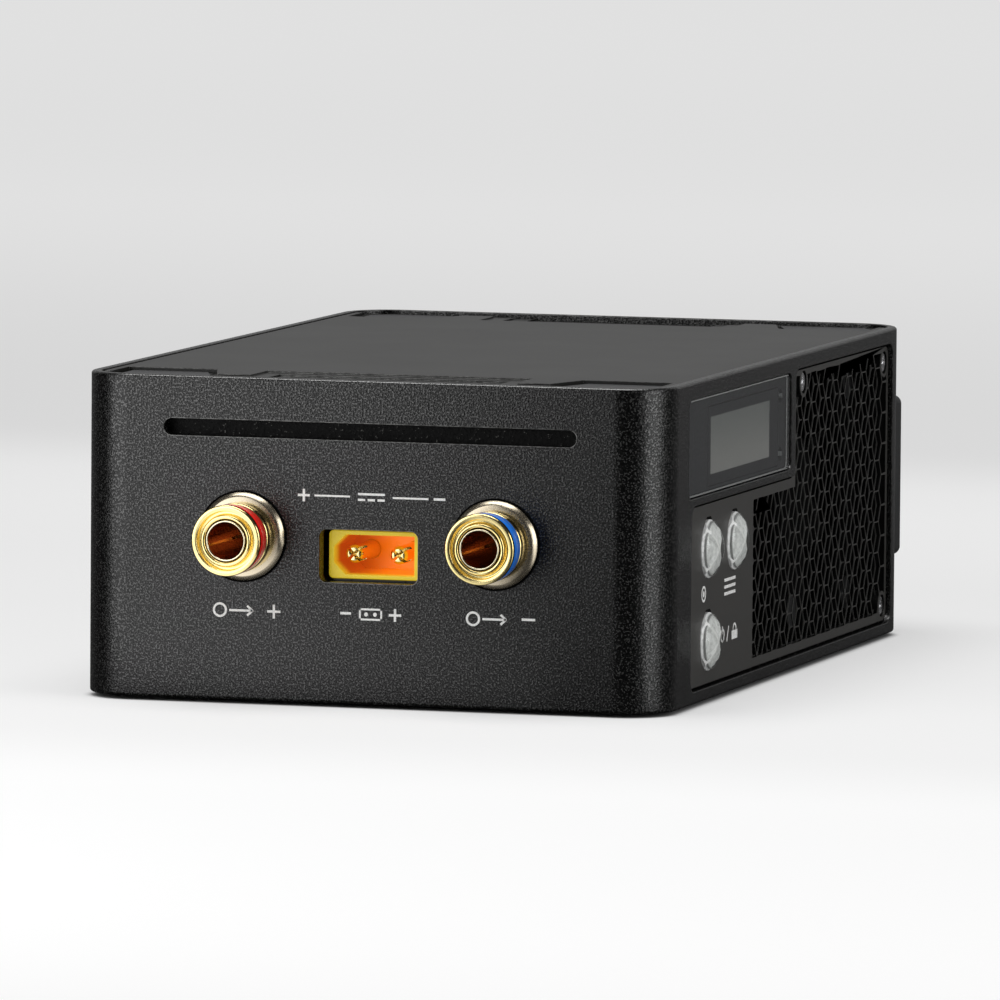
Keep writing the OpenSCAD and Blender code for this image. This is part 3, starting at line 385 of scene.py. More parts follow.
# Covers: smooth black plates that lie inside the rims of the band, top and bottom. They carry
# stepped finger recesses and four pockets in which the screws and pads sit.
top_cover = merged("top_cover_plate", "top_cover", edge=0.06 * MM)
bottom_cover = merged("bottom_cover_plate", "bottom_cover", edge=0.06 * MM)
satin = Finish("satin_black_plate", (0.016, 0.0158, 0.0148), 0.3, Specular_IOR_Level=0.27)
fine = satin.grain(0.09 * MM, 2.0)
clouds = satin.grain(9 * MM, 3.0)
satin.set("Roughness", 0.25 + 0.06 * fine + 0.05 * clouds)
satin.bump(fine + 0.3 * clouds, 0.006 * MM)
satin.on(top_cover, bottom_cover)
rubbed.on_edges(top_cover, bottom_cover)

pads = merged("pocket_pads", "stacking_pads", edge=0.08 * MM)
pad_metal = Finish("grey_pad_metal", (0.11, 0.11, 0.115), 0.36, Metallic=1.0)
pad_metal.grained(0.12 * MM, 2.0, 0.3, 0.14, 0.006 * MM, (1, 0.1, 1))
pad_metal.on(pads)

feet = merged("rubber_feet", "feet", edge=0.12 * MM)
rubber = Finish("black_foot_rubber", (0.02, 0.02, 0.02), 0.8)
pores = rubber.grain(0.2 * MM, 3.0)
rubber.set("Base Color", rubber.mix(pores, (0.014, 0.014, 0.014), (0.03, 0.03, 0.03)))
rubber.bump(pores, 0.02 * MM)
rubber.on(feet)


# Screws: countersunk ones under the pads and flat-headed ones sunk in the grille and on the board,
# of bright steel. Those of the vent and the fan are blackened.
steel = Finish("bright_screw_steel", (0.85, 0.85, 0.86), 0.26, Metallic=1.0)
steel.grained(0.15 * MM, 3.0, 0.18, 0.2, 0.006 * MM)
for node in ("top_cover_screws", "bottom_cover_screws", "board_screws"):
    steel.on(merged(node + "_steel", node))
black_steel = Finish("blackened_screw_steel", (0.1, 0.1, 0.105), 0.3, Metallic=1.0)
black_steel.grained(0.15 * MM, 3.0, 0.22, 0.2, 0.006 * MM)
black_steel.on(merged("rear_screws", "rear_vent_screws", edge=0.08 * MM),
    merged("fan_screws_black", "fan_screws"))
steel.on(merged("grille_screws", "side_grille_screws", edge=0.07 * MM))


# Sockets: a gold-plated turned sleeve with a grooved rim, a coloured ring in its waist, a slit
# copper contact inside, and a champagne washer on an insulating bush against the face.
def spot(x, behind, height):
    """A point given by its x, its distance behind the face and its height on the shell, in mm."""
    return Vector((x * MM, shell_low.y + behind * MM, shell_low.z + height * MM))


def turned(name, profile, x, h, steps=112, start=0.0, sweep=360.0):
    """A closed profile of (radius, distance behind the face), in mm, spun round a socket's axis."""
    deselect()
    across, up = math.cos(math.radians(start)), math.sin(math.radians(start))
    mesh = bpy.data.meshes.new(name)
    count = len(profile)
    mesh.from_pydata([spot(x + r * across, u, h + r * up) for r, u in profile],
        [(i, (i + 1) % count) for i in range(count)], [])
    made = bpy.data.objects.new(name, mesh)
    bpy.context.collection.objects.link(made)
    made.select_set(True)
    bpy.context.view_layer.objects.active = made
    bpy.ops.object.mode_set(mode="EDIT")
    bpy.ops.mesh.select_all(action="SELECT")
    bpy.ops.mesh.spin(
        steps=steps, angle=math.radians(sweep), center=spot(x, 0, h), axis=(0, -1, 0))
    bpy.ops.mesh.select_all(action="SELECT")
    bpy.ops.mesh.remove_doubles(threshold=0.000001)
    if sweep < 360:
        bpy.ops.mesh.fill_holes(sides=0)
    bpy.ops.mesh.select_all(action="SELECT")
    bpy.ops.mesh.normals_make_consistent(inside=False)
    bpy.ops.object.mode_set(mode="OBJECT")
    bpy.ops.object.shade_smooth_by_angle(angle=math.radians(38))
    return made


def joined(name, pieces):
    """Several pieces as one."""
    deselect()
    for piece in pieces:
        piece.select_set(True)
    bpy.context.view_layer.objects.active = pieces[0]
    bpy.ops.object.join()
    bpy.context.object.name = name
    return bpy.context.object


def arc(r, u, radius, start, end, steps=7):
    """Points of a round edge in a profile, from one angle to another in degrees."""
    return [(r + radius * math.cos(math.radians(start + (end - start) * i / steps)),
             u + radius * math.sin(math.radians(start + (end - start) * i / steps)))
            for i in range(steps + 1)]


gold = Finish("gold_plate", (0.94, 0.80, 0.42), 0.12, Metallic=1.0)
film = gold.grain(2.2 * MM, 2.0)
lines = gold.grain(0.12 * MM, 2.0, (1, 6, 1))
gold.set("Base Color", gold.mix(film, (0.86, 0.68, 0.27), (0.94, 0.80, 0.40)))
gold.set("Roughness", 0.09 + 0.06 * film + 0.05 * lines)
gold.bump(lines, 0.002 * MM)
copper = Finish("contact_copper", (0.55, 0.20, 0.08), 0.2, Metallic=1.0)
lines = copper.grained(0.1 * MM, 2.0, 0.12, 0.14, 0.003 * MM, (1, 6, 1))
copper.set("Base Color", copper.mix(
    copper.axis("Y").ramp(shell_low.y - 5.9 * MM, shell_low.y - 5.6 * MM),
    (0.93, 0.84, 0.60), copper.mix(lines, (0.36, 0.13, 0.045), (0.58, 0.26, 0.09))))
champagne = Finish("champagne_washer", (0.55, 0.48, 0.36), 0.24, Metallic=1.0)
champagne.grained(0.1 * MM, 2.0, 0.2, 0.12, 0.003 * MM, (1, 6, 1))

SOCKET_X, SOCKET_H = 14.2, 17.8
for side, x, ring_name, ring_colour, ring_front in (
        ("positive", -SOCKET_X, "red_ring_plastic", (0.85, 0.018, 0.012), -5.58),
        ("negative", SOCKET_X, "blue_ring_plastic", (0.015, 0.20, 0.80), -5.34)):
    thread = [(3.5 - 0.12 * (i % 2), 2.6 + 0.25 * i) for i in range(26)]
    sleeve = turned(side + "_socket_sleeve", (
        [(0.002, 4.85), (2.33, 4.85)]
        + arc(2.57, -5.94, 0.24, 180, 360, 10)
        + arc(2.95, -5.48, 0.14, 180, 90, 4) + arc(3.10, -5.48, 0.14, 90, 0, 4)
        + arc(3.32, -6.12, 0.08, 180, 270, 3)
        + arc(3.65, -6.0, 0.2, 270, 360, 7)
        + [(3.85, -5.64), (3.81, -5.6), (3.5, -5.6), (3.5, -3.1)]
        + arc(3.6, -2.9, 0.2, 270, 360, 5)
        + [(3.8, -0.74), (3.76, -0.7), (3.5, -0.7)] + thread
        + [(3.5, 9.0), (1.9, 9.0), (1.9, 10.7), (1.8, 10.8), (0.002, 10.8)]), x, SOCKET_H)
    gold.on(stands_for(sleeve, side + "_jack_sleeve"))
    ring = turned(side + "_socket_ring", (
        [(3.53, ring_front)] + arc(3.66, ring_front + 0.12, 0.12, 270, 360, 4)
        + [(3.78, ring_front + 1.96), (3.62, ring_front + 2.22), (3.53, ring_front + 2.22)]),
        x, SOCKET_H)
    ring_plastic = Finish(ring_name, ring_colour, 0.2)
    ring_plastic.grained(0.5 * MM, 3.0, 0.12, 0.12, 0.01 * MM)
    ring_plastic.on(stands_for(ring, side + "_jack_ring"))
    lip = turned(
        "lip", [(2.02, -5.8)] + arc(2.11, -6.1, 0.09, 180, 360, 8) + [(2.2, -5.8)], x, SOCKET_H)
    fingers = [turned("finger", [(2.02, 4.0), (2.02, -5.8), (2.2, -5.8), (2.2, 4.0)],
        x, SOCKET_H, 26, slit + 4, 82) for slit in (7, 97, 187, 277)]
    cup = turned("cup", [(2.2, 4.0), (2.2, 4.8), (0.002, 4.8), (0.002, 4.0)], x, SOCKET_H)
    copper.on(stands_for(
        joined(side + "_socket_contact", [lip, *fingers, cup]), side + "_jack_contact"))
washers = joined("socket_washers", [turned("washer", [
    (3.56, -0.2), (3.56, -0.66), (3.6, -0.7), (4.25, -0.7), (4.33, -0.67), (4.77, -0.27),
    (4.79, -0.22), (4.77, -0.2)], x, SOCKET_H) for x in (-SOCKET_X, SOCKET_X)])
champagne.on(stands_for(washers, "jack_washers"))

inner_plastic = Finish(
    "black_moulded_plastic", (0.003, 0.003, 0.003), 0.55, Specular_IOR_Level=0.0)
inner_plastic.grained(0.15 * MM, 2.0, 0.5, 0.2, 0.008 * MM)
inner_plastic.on(merged("socket_bushes", "jack_insulators"))
gold.on(merged("socket_nuts", "jack_nuts", edge=0.15 * MM))
bar_copper = Finish("bus_bar_copper", (0.80, 0.42, 0.24), 0.3, Metallic=1.0)
tarnish = bar_copper.grained(3 * MM, 4.0, 0.2, 0.25, 0.01 * MM)
bar_copper.set("Base Color", bar_copper.mix(
    tarnish.ramp(0.35, 0.7), (0.82, 0.45, 0.27), (0.5, 0.24, 0.13)))
bar_copper.on(merged("bus_bar_left", "positive_bus_bar", edge=0.1 * MM),
    merged("bus_bar_right", "negative_bus_bar", edge=0.1 * MM))


# Sense connector: a two-pole plug shroud moulded in yellow nylon, soldered to the board, with
# gold pins whose tips are cross-slit. Its inside turns orange with depth and dark red to the left,
# painted glow and painted shade, and the nylon has a weak emission, a painted glow.
connector = merged("sense_shroud", "sense_connector", edge=0.09 * MM)
nylon = Finish("yellow_nylon", (0.83, 0.55, 0.03), 0.3, Emission_Strength=0.28)
depth = nylon.axis("Y")
across = nylon.axis("X")
cloud = nylon.grain(0.8 * MM, 3.0)
# Painted glow and painted shade: deeper in the shroud the colour turns orange, and dark red towards
# its left; the same colour is also emitted.
painted_glow_depth = depth.ramp(shell_low.y + 2.4 * MM, shell_low.y + 4.8 * MM)
dye_and_painted_glow = nylon.mix(
    painted_glow_depth, nylon.mix(cloud, (0.95, 0.68, 0.02), (1.0, 0.76, 0.05)),
    nylon.mix(across.ramp(-0.0046, 0.001), (0.62, 0.12, 0.01), (1.0, 0.36, 0.01)))
nylon.set("Base Color", dye_and_painted_glow)
nylon.set("Emission Color", dye_and_painted_glow)
nylon.set("Roughness", 0.24 + 0.14 * cloud)
nylon.bump(cloud, 0.012 * MM)
nylon.on(connector)
gold.on(merged("sense_pins_gold", "sense_pins", edge=0.05 * MM))


# Air slot: a strip of open-pored black filter foam glued behind the slot. A few cell walls have
# painted glints, specks of light grey colour.
filter_foam = Finish("filter_foam", (0.006, 0.006, 0.006), 0.6, Specular_IOR_Level=0.15)
pores = filter_foam.grained(0.16 * MM, 2.0, 0.75, -0.3, 0.12 * MM)
# Painted glints: the highest grains of the foam turn light grey.
filter_foam.set("Base Color", filter_foam.mix(
    pores.ramp(0.66, 0.72), (0.0015, 0.0015, 0.0015), (0.14, 0.14, 0.13)))
filter_foam.on(merged("slot_foam", "slot_screen"))


# Side frame: one black moulding behind the side wall, with a pocket for each button's flange. It
# holds the grille, the display and the fan.
inner_plastic.on(merged("side_moulding", "side_frame"))


# Grille: an aluminium panel cut with hexagons, sunk in the window of the shell and painted satin
# black. Its webs are thin, and a second sheet with the same hexagons lies half a millimetre behind
# its front.
HEX_PITCH, HEX_STRETCH, HEX_WEB = 3.52, 1.04, 0.13
FRAME_WEB, FRAME_T = 0.3, 0.6
HEX_STEP = 1.5 * HEX_PITCH / math.sqrt(3) * HEX_STRETCH
WEB_DEPTH, INNER_SHEET_DEPTH, CORNER = 0.14, 0.56, 0.45
FIELD_Y, FIELD_H = 38.5, 2.6
panel_low, panel_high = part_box("side_grille")


def hexagon_middle(column, row):
    """The middle of a hexagon, in mm behind the face and above the shell's lower edge."""
    return FIELD_Y + HEX_STEP * column, FIELD_H + HEX_PITCH * (row + (column % 2) / 2)


def thin_webs(point):
    """Widens the whole hexagons and brings the panel's rear face there close behind its front."""
    if abs(point.x - panel_high.x + FRAME_T * MM) < 0.002 * MM:
        point.x = panel_high.x - WEB_DEPTH * MM
    behind, height = (point.y - shell_low.y) / MM, (point.z - shell_low.z) / MM
    column = math.floor((behind - FIELD_Y) / HEX_STEP)
    for i in (column, column + 1):
        row = math.floor((height - FIELD_H) / HEX_PITCH - (i % 2) / 2)
        for j in (row, row + 1):
            y, h = hexagon_middle(i, j)
            reach = math.hypot((behind - y) / HEX_STRETCH, height - h)
            if abs(reach - (HEX_PITCH - FRAME_WEB) / math.sqrt(3)) < 0.02:
                wider = (HEX_PITCH - HEX_WEB) / (HEX_PITCH - FRAME_WEB)
                point.y = shell_low.y + (y + (behind - y) * wider) * MM
                point.z = shell_low.z + (h + (height - h) * wider) * MM
                return


grille = merged("hexagon_panel", "side_grille", shape=thin_webs)
for edge in grille.data.edges:
    a, b = (grille.data.vertices[i].co for i in edge.vertices)
    middle = (a + b) / 2
    edge.select = False
    if abs(abs(a.x - b.x) - WEB_DEPTH * MM) < 0.003 * MM and (a - b).length < 0.145 * MM:
        behind, height = (middle.y - shell_low.y) / MM, (middle.z - shell_low.z) / MM
        edge.select = behind > FIELD_Y + 0.1 and height > FIELD_H + 0.1
bpy.ops.object.mode_set(mode="EDIT")
bpy.ops.mesh.select_mode(type="EDGE")
bpy.ops.mesh.bevel(offset=CORNER * MM, segments=2, clamp_overlap=True)
bpy.ops.object.mode_set(mode="OBJECT")
bpy.ops.mesh.customdata_custom_splitnormals_clear()
bpy.ops.object.shade_flat()
paint = Finish("satin_panel_paint", (0.03, 0.029, 0.027), 0.34)
fine = paint.grain(0.1 * MM, 2.0)
clouds = paint.grain(6 * MM, 3.0)
# Painted shade: behind the front face the hole walls are painted near black.
clear_of_painted_hole_shade = paint.axis("X").ramp(panel_high.x - 0.08 * MM, panel_high.x - 0.03 * MM)
paint.set("Base Color", paint.mix(clear_of_painted_hole_shade, (0.003, 0.003, 0.003), paint.mix(
    clouds, (0.044, 0.0425, 0.040), (0.056, 0.0545, 0.051))))
paint.set("Roughness", 0.3 + 0.08 * fine + 0.06 * clouds)
paint.bump(fine + 0.2 * clouds, 0.008 * MM)
paint.on(grille)

deselect()
bpy.ops.mesh.primitive_circle_add(
    vertices=6, radius=HEX_PITCH / math.sqrt(3) * MM, fill_type="NGON")
one = bpy.context.object
bpy.ops.object.mode_set(mode="EDIT")
bpy.ops.mesh.select_all(action="SELECT")
bpy.ops.mesh.inset(thickness=HEX_WEB / 2 * MM)
bpy.ops.mesh.delete(type="FACE")
bpy.ops.object.mode_set(mode="OBJECT")
for vertex in one.data.vertices:
    vertex.select = vertex.co.length < (HEX_PITCH / math.sqrt(3) - 0.04) * MM
bpy.ops.object.mode_set(mode="EDIT")
bpy.ops.mesh.select_mode(type="VERT")
bpy.ops.mesh.bevel(offset=CORNER * MM, segments=2, affect="VERTICES")
bpy.ops.object.mode_set(mode="OBJECT")
one.data.transform(Matrix.Diagonal((HEX_STRETCH, 1, 1, 1)) @ Matrix.Rotation(math.pi / 2, 4, "Z"))
cells = []
field_end = (panel_high.y - shell_low.y) / MM - 0.7
field_top = (panel_high.z - shell_low.z) / MM - 0.65
for i in range(18):
    for j in range(10):
        y, h = hexagon_middle(i, j)
        if y < field_end and h < (field_top + 1.2 if y > 57.2 else 21.5):
            extra = bpy.data.objects.new("cell", one.data.copy())
            extra.data.transform(Matrix.Translation((y * MM, h * MM, 0)))
            bpy.context.collection.objects.link(extra)
            cells.append(extra)
bpy.data.objects.remove(one)
inner_sheet = joined("hexagon_inner_sheet", cells)
bpy.ops.object.mode_set(mode="EDIT")
bpy.ops.mesh.select_all(action="SELECT")
bpy.ops.mesh.remove_doubles(threshold=0.00002)
bpy.ops.mesh.normals_make_consistent(inside=False)
bpy.ops.object.mode_set(mode="OBJECT")
thick = inner_sheet.modifiers.new("thick", "SOLIDIFY")
thick.thickness, thick.offset = 0.12 * MM, 0
bpy.ops.object.modifier_apply(modifier=thick.name)
bpy.ops.object.mode_set(mode="EDIT")
bpy.ops.mesh.select_all(action="SELECT")
bpy.ops.mesh.normals_make_consistent(inside=False)
bpy.ops.object.mode_set(mode="OBJECT")
inner_sheet.data.transform(
    Matrix.Translation((panel_high.x - INNER_SHEET_DEPTH * MM, shell_low.y, shell_low.z))
    @ Matrix.Rotation(math.pi / 2, 4, "Z") @ Matrix.Rotation(math.pi / 2, 4, "X"))
sheet_paint = Finish("inner_sheet_paint", (0.04, 0.039, 0.037), 0.34)
fine = sheet_paint.grained(0.1 * MM, 2.0, 0.3, 0.1, 0.006 * MM)
sheet_paint.set("Base Color", sheet_paint.mix(fine, (0.05, 0.049, 0.047), (0.07, 0.069, 0.066)))
sheet_paint.on(inner_sheet)
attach(inner_sheet, "housing")


# Display: a clear glass with a ground edge, sealed by foam whose front is printed black. Behind it
# lie a small unlit cell with a grey face and the tips of two light guides.
def clear_through(finish, tint):
    """What a face of this finish doesn't mirror passes straight through it."""
    tree = finish.tree
    facing = tree.node("LayerWeight", inputs={"Blend": 0.5}, output="Facing")
    front = 1 - tree.node("NewGeometry", output="Backfacing")
    mirror = (0.04 + 0.96 * facing.math("POWER", 5)) * front
    tree.tree.links.new(tree.node("MixShader", inputs={
        0: mirror, 1: tree.node("BsdfTransparent", inputs={"Color": (*tint, 1)}),
        2: Socket(tree.tree, finish.shader.outputs[0])}).output, finish.end.inputs["Surface"])


def raised(by):
    """Brings what touches the back of the glass this much closer to its front."""
    def shape(point):
        if abs(point.x - glass_low.x) < 0.002 * MM:
            point.x += by
    return shape


TO_GLASS, TO_FOAM = 0.42, 0.36
glass_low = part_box("display_glass")[0]
glass = merged("display_window", "display_glass", edge=0.12 * MM, shape=raised(TO_GLASS * MM))
window = Finish("display_window_glass", (1.0, 1.0, 1.0), 0.03, Metallic=1.0)
window.grained(4 * MM, 3.0, 0.02, 0.04, 0.002 * MM)
clear_through(window, (0.94, 0.95, 0.96))
window.on(glass)
ground = Finish("ground_glass_edge", (0.3, 0.31, 0.3), 0.4)
grind = ground.grain(0.2 * MM, 3.0)
ground.set("Base Color", ground.mix(grind, (0.18, 0.185, 0.18), (0.42, 0.43, 0.42)))
ground.set("Roughness", 0.3 + 0.2 * grind)
ground.on_edges(glass)
foam = Finish("black_printed_foam", (0.012, 0.012, 0.013), 0.7)
cells = foam.grained(0.2 * MM, 3.0, 0.5, 0.3, 0.01 * MM)
foam.set("Base Color", foam.mix(cells, (0.008, 0.008, 0.009), (0.018, 0.018, 0.019)))
foam.on(merged("display_foam", "display_gasket", shape=raised(TO_FOAM * MM)))
PICTURE_Y, PICTURE_H = (21.0, 45.4), (24.35, 30.5)
cell = Finish("display_cell_face", (0.2, 0.21, 0.2), 0.3)
dust = cell.grain(0.3 * MM, 2.0)
along, up = cell.axis("Y"), cell.axis("Z")
picture = (along.inside(*(shell_low.y + y * MM for y in PICTURE_Y), 0.1 * MM)
    * up.inside(*(shell_low.z + h * MM for h in PICTURE_H), 0.1 * MM))
# Painted light: the grey picture area is lighter at the bottom and darker towards the top.
cell.set("Base Color", cell.mix(picture, (0.008, 0.008, 0.009), cell.mix(
    up.ramp(shell_low.z + 24 * MM, shell_low.z + 31 * MM),
    (0.32, 0.31, 0.28), (0.20, 0.205, 0.185))))
cell.set("Roughness", 0.26 + 0.1 * dust)
cell.bump(dust, 0.003 * MM)
cell.on(merged("display_cell_block", "display_panel", shape=raised(TO_FOAM * MM)))
clear = Finish("clear_light_guide", (0.85, 0.88, 0.85), 0.15, Transmission_Weight=0.6, IOR=1.49)
clear.grained(0.3 * MM, 2.0, 0.1, 0.12, 0.004 * MM)


def small_tips(point):
    """Draws the two guides together towards their axes and brings them up to the glass."""
    raised(TO_FOAM * MM)(point)
    for height in (30.7, 24.25):
        middle = spot(0, 50, height)
        if abs(point.z - middle.z) < 2 * MM:
            point.y = middle.y + 0.9 * MM + 0.45 * (point.y - middle.y)
            point.z = middle.z + 0.45 * (point.z - middle.z)


clear.on(merged("light_guides", "indicator_lights", shape=small_tips))


# Buttons: clear domed caps over a frosted reflector with four ridges, which show through as a
# bright cross; they slide in the panel's round holes against small switches.
def reflector(name):
    """A low dome whose diagonal ridges stand up; its foot is at the origin."""
    deselect()
    bpy.ops.mesh.primitive_circle_add(vertices=24, radius=3.2 * MM, fill_type="NGON")
    made = bpy.context.object
    made.name = name
    for part in ("facets", "ridges"):
        made.data.materials.append(None)
    bpy.ops.object.mode_set(mode="EDIT")
    bpy.ops.mesh.select_all(action="SELECT")
    bpy.ops.mesh.extrude_region_move(TRANSFORM_OT_translate={"value": (0, 0, 1.5 * MM)})
    for inwards, up in ((0.5, 0.45), (1.2, 0.4)):
        bpy.ops.mesh.inset(thickness=inwards * MM, depth=up * MM)
    bpy.ops.mesh.poke(offset=0.1 * MM)
    bpy.ops.mesh.select_all(action="DESELECT")
    bpy.ops.object.mode_set(mode="OBJECT")
    diagonal = []
    for vertex in made.data.vertices:
        side = abs(abs(vertex.co.x) - abs(vertex.co.y)) < 0.01 * MM
        if side and vertex.co.z > 1.45 * MM:
            diagonal.append(vertex.index)
            vertex.co.z += 0.28 * MM
    for edge in made.data.edges:
        edge.select = all(i in diagonal for i in edge.vertices)
    bpy.ops.object.mode_set(mode="EDIT")
    bpy.ops.mesh.bevel(offset=0.2 * MM, segments=3, material=1)
    bpy.ops.mesh.select_all(action="SELECT")
    bpy.ops.mesh.normals_make_consistent(inside=False)
    bpy.ops.object.mode_set(mode="OBJECT")
    bpy.ops.object.shade_smooth_by_angle(angle=math.radians(18))
    return made


cap_plastic = Finish("clear_cap_plastic", (1.0, 1.0, 1.0), 0.06, Metallic=1.0)
cap_plastic.grained(0.5 * MM, 3.0, 0.04, 0.08, 0.01 * MM)
clear_through(cap_plastic, (0.93, 0.94, 0.93))
frosted = Finish("frosted_reflector", (0.45, 0.46, 0.45), 0.35)
ridge = Finish("polished_ridge", (0.9, 0.9, 0.88), 0.25)
for finish, low, high in ((frosted, (0.66, 0.67, 0.66), (0.95, 0.96, 0.95)),
        (ridge, (0.90, 0.91, 0.90), (0.98, 0.98, 0.96))):
    frost = finish.grained(0.3 * MM, 3.0, 0.22, 0.16, 0.02 * MM)
    finish.set("Base Color", finish.mix(frost.ramp(0.3, 0.7), low, high))
KEYS = (("set", 20, 16.3), ("menu", 30.65, 16.3), ("power", 20, 6.2))
for key, behind, height in KEYS:
    cap = merged(key + "_cap", "button_" + key, edge=0.12 * MM)
    cap_plastic.on(cap)
    ground.on_edges(cap)
    core = reflector(key + "_reflector")
    core.data.transform(Matrix.Translation(spot(31.1, behind, height))
        @ Matrix.Rotation(math.pi / 2, 4, "Y"))
    frosted.on(core)
    ridge.on_edges(core)
    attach(core, key + "_key")
inner_plastic.on(merged("switches", "tact_switches"))


# Marks: plain white signs, printed as a film of ink on the front and beside the buttons. Each is
# drawn flat and then laid on its face.
class Print:
    """Flat signs drawn in mm on a sheet, then laid on a face as one thin film."""

    def __init__(self):
        self.parts = []

    def bar(self, x, y, length, width, turn=0):
        deselect()
        bpy.ops.mesh.primitive_plane_add(size=1)
        made = bpy.context.object
        made.data.transform(Matrix.Translation((x * MM, y * MM, 0))
            @ Matrix.Rotation(math.radians(turn), 4, "Z")
            @ Matrix.Diagonal((length * MM, width * MM, 1, 1)))
        self.parts.append(made)

    def ring(self, x, y, radius, width, gap=0, middle=90):
        """A ring, open over an angle of gap degrees round middle."""
        deselect()
        bpy.ops.mesh.primitive_circle_add(vertices=36, radius=radius * MM, fill_type="NGON")
        made = bpy.context.object
        bpy.ops.object.mode_set(mode="EDIT")
        bpy.ops.mesh.select_all(action="SELECT")
        bpy.ops.mesh.inset(thickness=width * MM)
        bpy.ops.mesh.delete(type="FACE")
        bpy.ops.object.mode_set(mode="OBJECT")
        for face in made.data.polygons:
            angle = math.degrees(math.atan2(face.center.y, face.center.x))
            face.select = abs((angle - middle + 180) % 360 - 180) < gap / 2
        bpy.ops.object.mode_set(mode="EDIT")
        bpy.ops.mesh.delete(type="FACE")
        bpy.ops.object.mode_set(mode="OBJECT")
        made.data.transform(Matrix.Translation((x * MM, y * MM, 0)))
        self.parts.append(made)

    def dot(self, x, y, radius):
        deselect()
        bpy.ops.mesh.primitive_circle_add(vertices=24, radius=radius * MM, fill_type="NGON")
        made = bpy.context.object
        made.data.transform(Matrix.Translation((x * MM, y * MM, 0)))
        self.parts.append(made)

    def plus(self, x, y, size, width):
        self.bar(x, y, size, width)
        self.bar(x, y + (size + width) / 4, (size - width) / 2, width, 90)
        self.bar(x, y - (size + width) / 4, (size - width) / 2, width, 90)

    def lay(self, name, place, finish):
        made = joined(name, self.parts)
        film = made.modifiers.new("film", "SOLIDIFY")
        film.thickness, film.offset = 0.02 * MM, 0
        bpy.ops.object.modifier_apply(modifier=film.name)
        made.data.transform(place)
        finish.on(made)
        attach(made, "housing")


ink = Finish("white_print", (0.8, 0.8, 0.78), 0.45)
spread = ink.grain(0.12 * MM, 2.0)
ink.set("Base Color", ink.mix(spread.ramp(0.25, 0.6), (0.75, 0.75, 0.73), (0.98, 0.98, 0.96)))
ink.set("Roughness", 0.38 + 0.16 * spread)
signs = Print()
signs.plus(-7.3, 22.48, 1.35, 0.26)
signs.bar(-4.1, 22.48, 4.0, 0.2)
signs.bar(0.3, 22.78, 3.0, 0.24)
for x in (-0.8, 0.3, 1.4):
    signs.bar(x, 22.16, 0.8, 0.24)
signs.bar(4.7, 22.48, 4.0, 0.2)
signs.bar(7.95, 22.48, 1.3, 0.26)
for x in (-16.7, 11.8):
    signs.ring(x, 9.75, 0.8, 0.24)
    signs.bar(x + 2.35, 9.75, 2.6, 0.24)
    signs.bar(x + 3.4, 10.0, 0.85, 0.24, -42)
    signs.bar(x + 3.4, 9.5, 0.85, 0.24, 42)
signs.plus(-10.6, 9.75, 1.5, 0.26)
signs.bar(18.0, 9.85, 1.5, 0.26)
signs.bar(-2.5, 9.85, 1.2, 0.26)
signs.plus(3.05, 9.8, 1.4, 0.26)
for y in (-0.55, 0.55):
    signs.bar(0.3, 9.8 + y, 2.6, 0.2)
for x in (-0.9, 1.5):
    signs.bar(x, 9.8, 0.2, 1.3)
for x in (-0.2, 0.8):
    signs.dot(x, 9.8, 0.22)
front = Matrix.Translation(spot(0, -0.02, 0)) @ Matrix.Rotation(math.pi / 2, 4, "X")
signs.lay("front_signs", front, ink)
signs = Print()
signs.ring(18.1, 11.5, 0.9, 0.26)
signs.dot(18.1, 11.5, 0.34)
for y in (10.75, 11.5, 12.25):
    signs.bar(28.9, y, 4.6, 0.34)
signs.ring(26.0, 6.3, 0.8, 0.24, gap=70)
signs.bar(26.0, 6.85, 0.24, 0.85)
signs.bar(28.2, 6.3, 1.8, 0.22, 65)
signs.bar(31.0, 5.98, 2.3, 0.95)
signs.ring(31.0, 6.5, 0.75, 0.24, gap=170, middle=-90)
side = (Matrix.Translation((panel_high.x + 0.012 * MM, shell_low.y, shell_low.z))
    @ Matrix.Rotation(math.pi / 2, 4, "Z") @ Matrix.Rotation(math.pi / 2, 4, "X"))
signs.lay("side_signs", side, ink)


# Boards: green glass-fibre laminate with solder mask, one upright behind the keys and one flat
# across the box. Chips, capacitors, headers and the current-sense strip are soldered on the flat
# one, and its power transistors give their heat through grey silicone to the fins above them.
laminate = Finish("green_solder_mask", (0.01, 0.09, 0.04), 0.3)
weave = laminate.grain(0.5 * MM, 2.0)
tracks = laminate.grain(1.6 * MM, 1.0)
laminate.set("Base Color", laminate.mix(
    laminate.axis("Y").ramp(shell_low.y + 5 * MM, shell_low.y + 7 * MM), (0.002, 0.002, 0.002),
    laminate.mix(tracks.ramp(0.48, 0.52), (0.008, 0.075, 0.035), (0.015, 0.13, 0.06))))
laminate.set("Roughness", 0.24 + 0.14 * weave)
laminate.bump(tracks.ramp(0.48, 0.52) + 0.2 * weave, 0.02 * MM)
laminate.on(merged("upright_board", "ui_board"), merged("power_board", "main_board"))
gold.on(merged("standoffs", "board_standoffs", edge=0.08 * MM))
epoxy = Finish("black_epoxy", (0.02, 0.02, 0.021), 0.45)
epoxy.grained(0.12 * MM, 2.0, 0.38, 0.2, 0.008 * MM)
epoxy.on(merged("transistors", "power_transistors", edge=0.12 * MM),
    merged("chips", "control_chips", edge=0.08 * MM))
silicone = Finish("grey_thermal_silicone", (0.36, 0.38, 0.42), 0.6)
lumps = silicone.grain(0.4 * MM, 3.0)
silicone.set("Base Color", silicone.mix(lumps, (0.30, 0.32, 0.37), (0.45, 0.47, 0.5)))
silicone.bump(lumps, 0.02 * MM)
silicone.on(merged("thermal_sheets", "thermal_pads"))
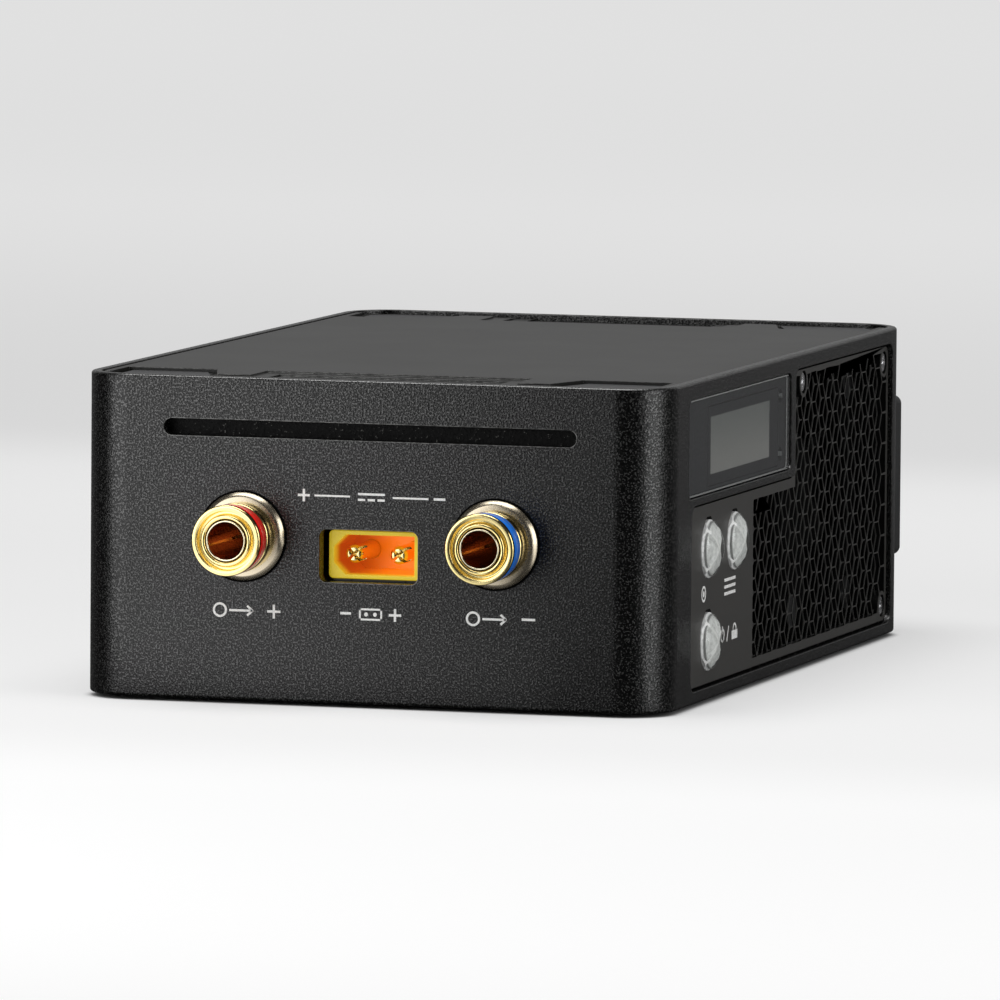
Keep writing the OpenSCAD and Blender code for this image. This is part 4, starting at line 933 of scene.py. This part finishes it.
alloy = Finish("bare_aluminium", (0.72, 0.73, 0.75), 0.35, Metallic=1.0)
alloy.grained(0.15 * MM, 3.0, 0.26, 0.2, 0.01 * MM, (0.05, 1, 1))
alloy.on(merged("fin_block", "heatsink"), merged("fin_block_posts", "heatsink_spacers"))
manganin = Finish("shunt_metal", (0.55, 0.46, 0.38), 0.4, Metallic=1.0)
manganin.grained(0.15 * MM, 3.0, 0.32, 0.2, 0.01 * MM, (1, 0.1, 1))
manganin.on(merged("sense_strip", "shunt_resistor", edge=0.15 * MM))
sleeve_film = Finish("capacitor_film", (0.03, 0.03, 0.04), 0.25)
sleeve_film.grained(1.2 * MM, 2.0, 0.2, 0.12, 0.02 * MM)
sleeve_film.on(merged("reservoirs", "capacitors", edge=0.3 * MM))
nylon_white = Finish("cream_header_nylon", (0.76, 0.74, 0.66), 0.45)
nylon_white.grained(0.2 * MM, 2.0, 0.38, 0.16, 0.01 * MM)
nylon_white.on(merged("headers", "board_headers", edge=0.12 * MM),
    merged("flat_cable", "ribbon_cable"))


# Fan: a 30 mm axial fan behind the tall part of the grille, moulded in black plastic. Its wheel
# turns on a shaft in the frame's bush, and its lead runs to the flat board.
fan_frame = merged("fan_housing", "fan_frame", edge=0.12 * MM)
inner_plastic.on(fan_frame)
blades = merged("fan_wheel", "fan_rotor", edge=0.08 * MM)
fan_plastic = Finish("fan_wheel_plastic", (0.006, 0.006, 0.006), 0.45, Specular_IOR_Level=0.0)
fan_plastic.grained(0.2 * MM, 2.0, 0.4, 0.14, 0.008 * MM)
fan_plastic.on(blades)
lead = Finish("red_lead_sheath", (0.45, 0.02, 0.015), 0.4)
lead.grained(0.3 * MM, 2.0, 0.34, 0.14, 0.01 * MM)
lead.on(merged("fan_cable", "fan_lead"))


# Back: a louvre frame moulded in grained black plastic and screwed to the rear wall, and the
# board's flat power socket behind its opening.
vent = merged("louvre_frame", "rear_vent", edge=0.12 * MM)
vent_plastic = Finish("grained_vent_plastic", (0.02, 0.02, 0.0205), 0.5)
vent_plastic.grained(0.35 * MM, 3.0, 0.44, 0.16, 0.03 * MM)
vent_plastic.on(vent)
steel.on(merged("power_inlet", "power_socket", edge=0.05 * MM))


# Size: the box of what is seen is set beside the box of the frame, for comparison.
low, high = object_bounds()
{"cad": [list(cad_low), list(cad_high)], "visual": [list(low), list(high)]}
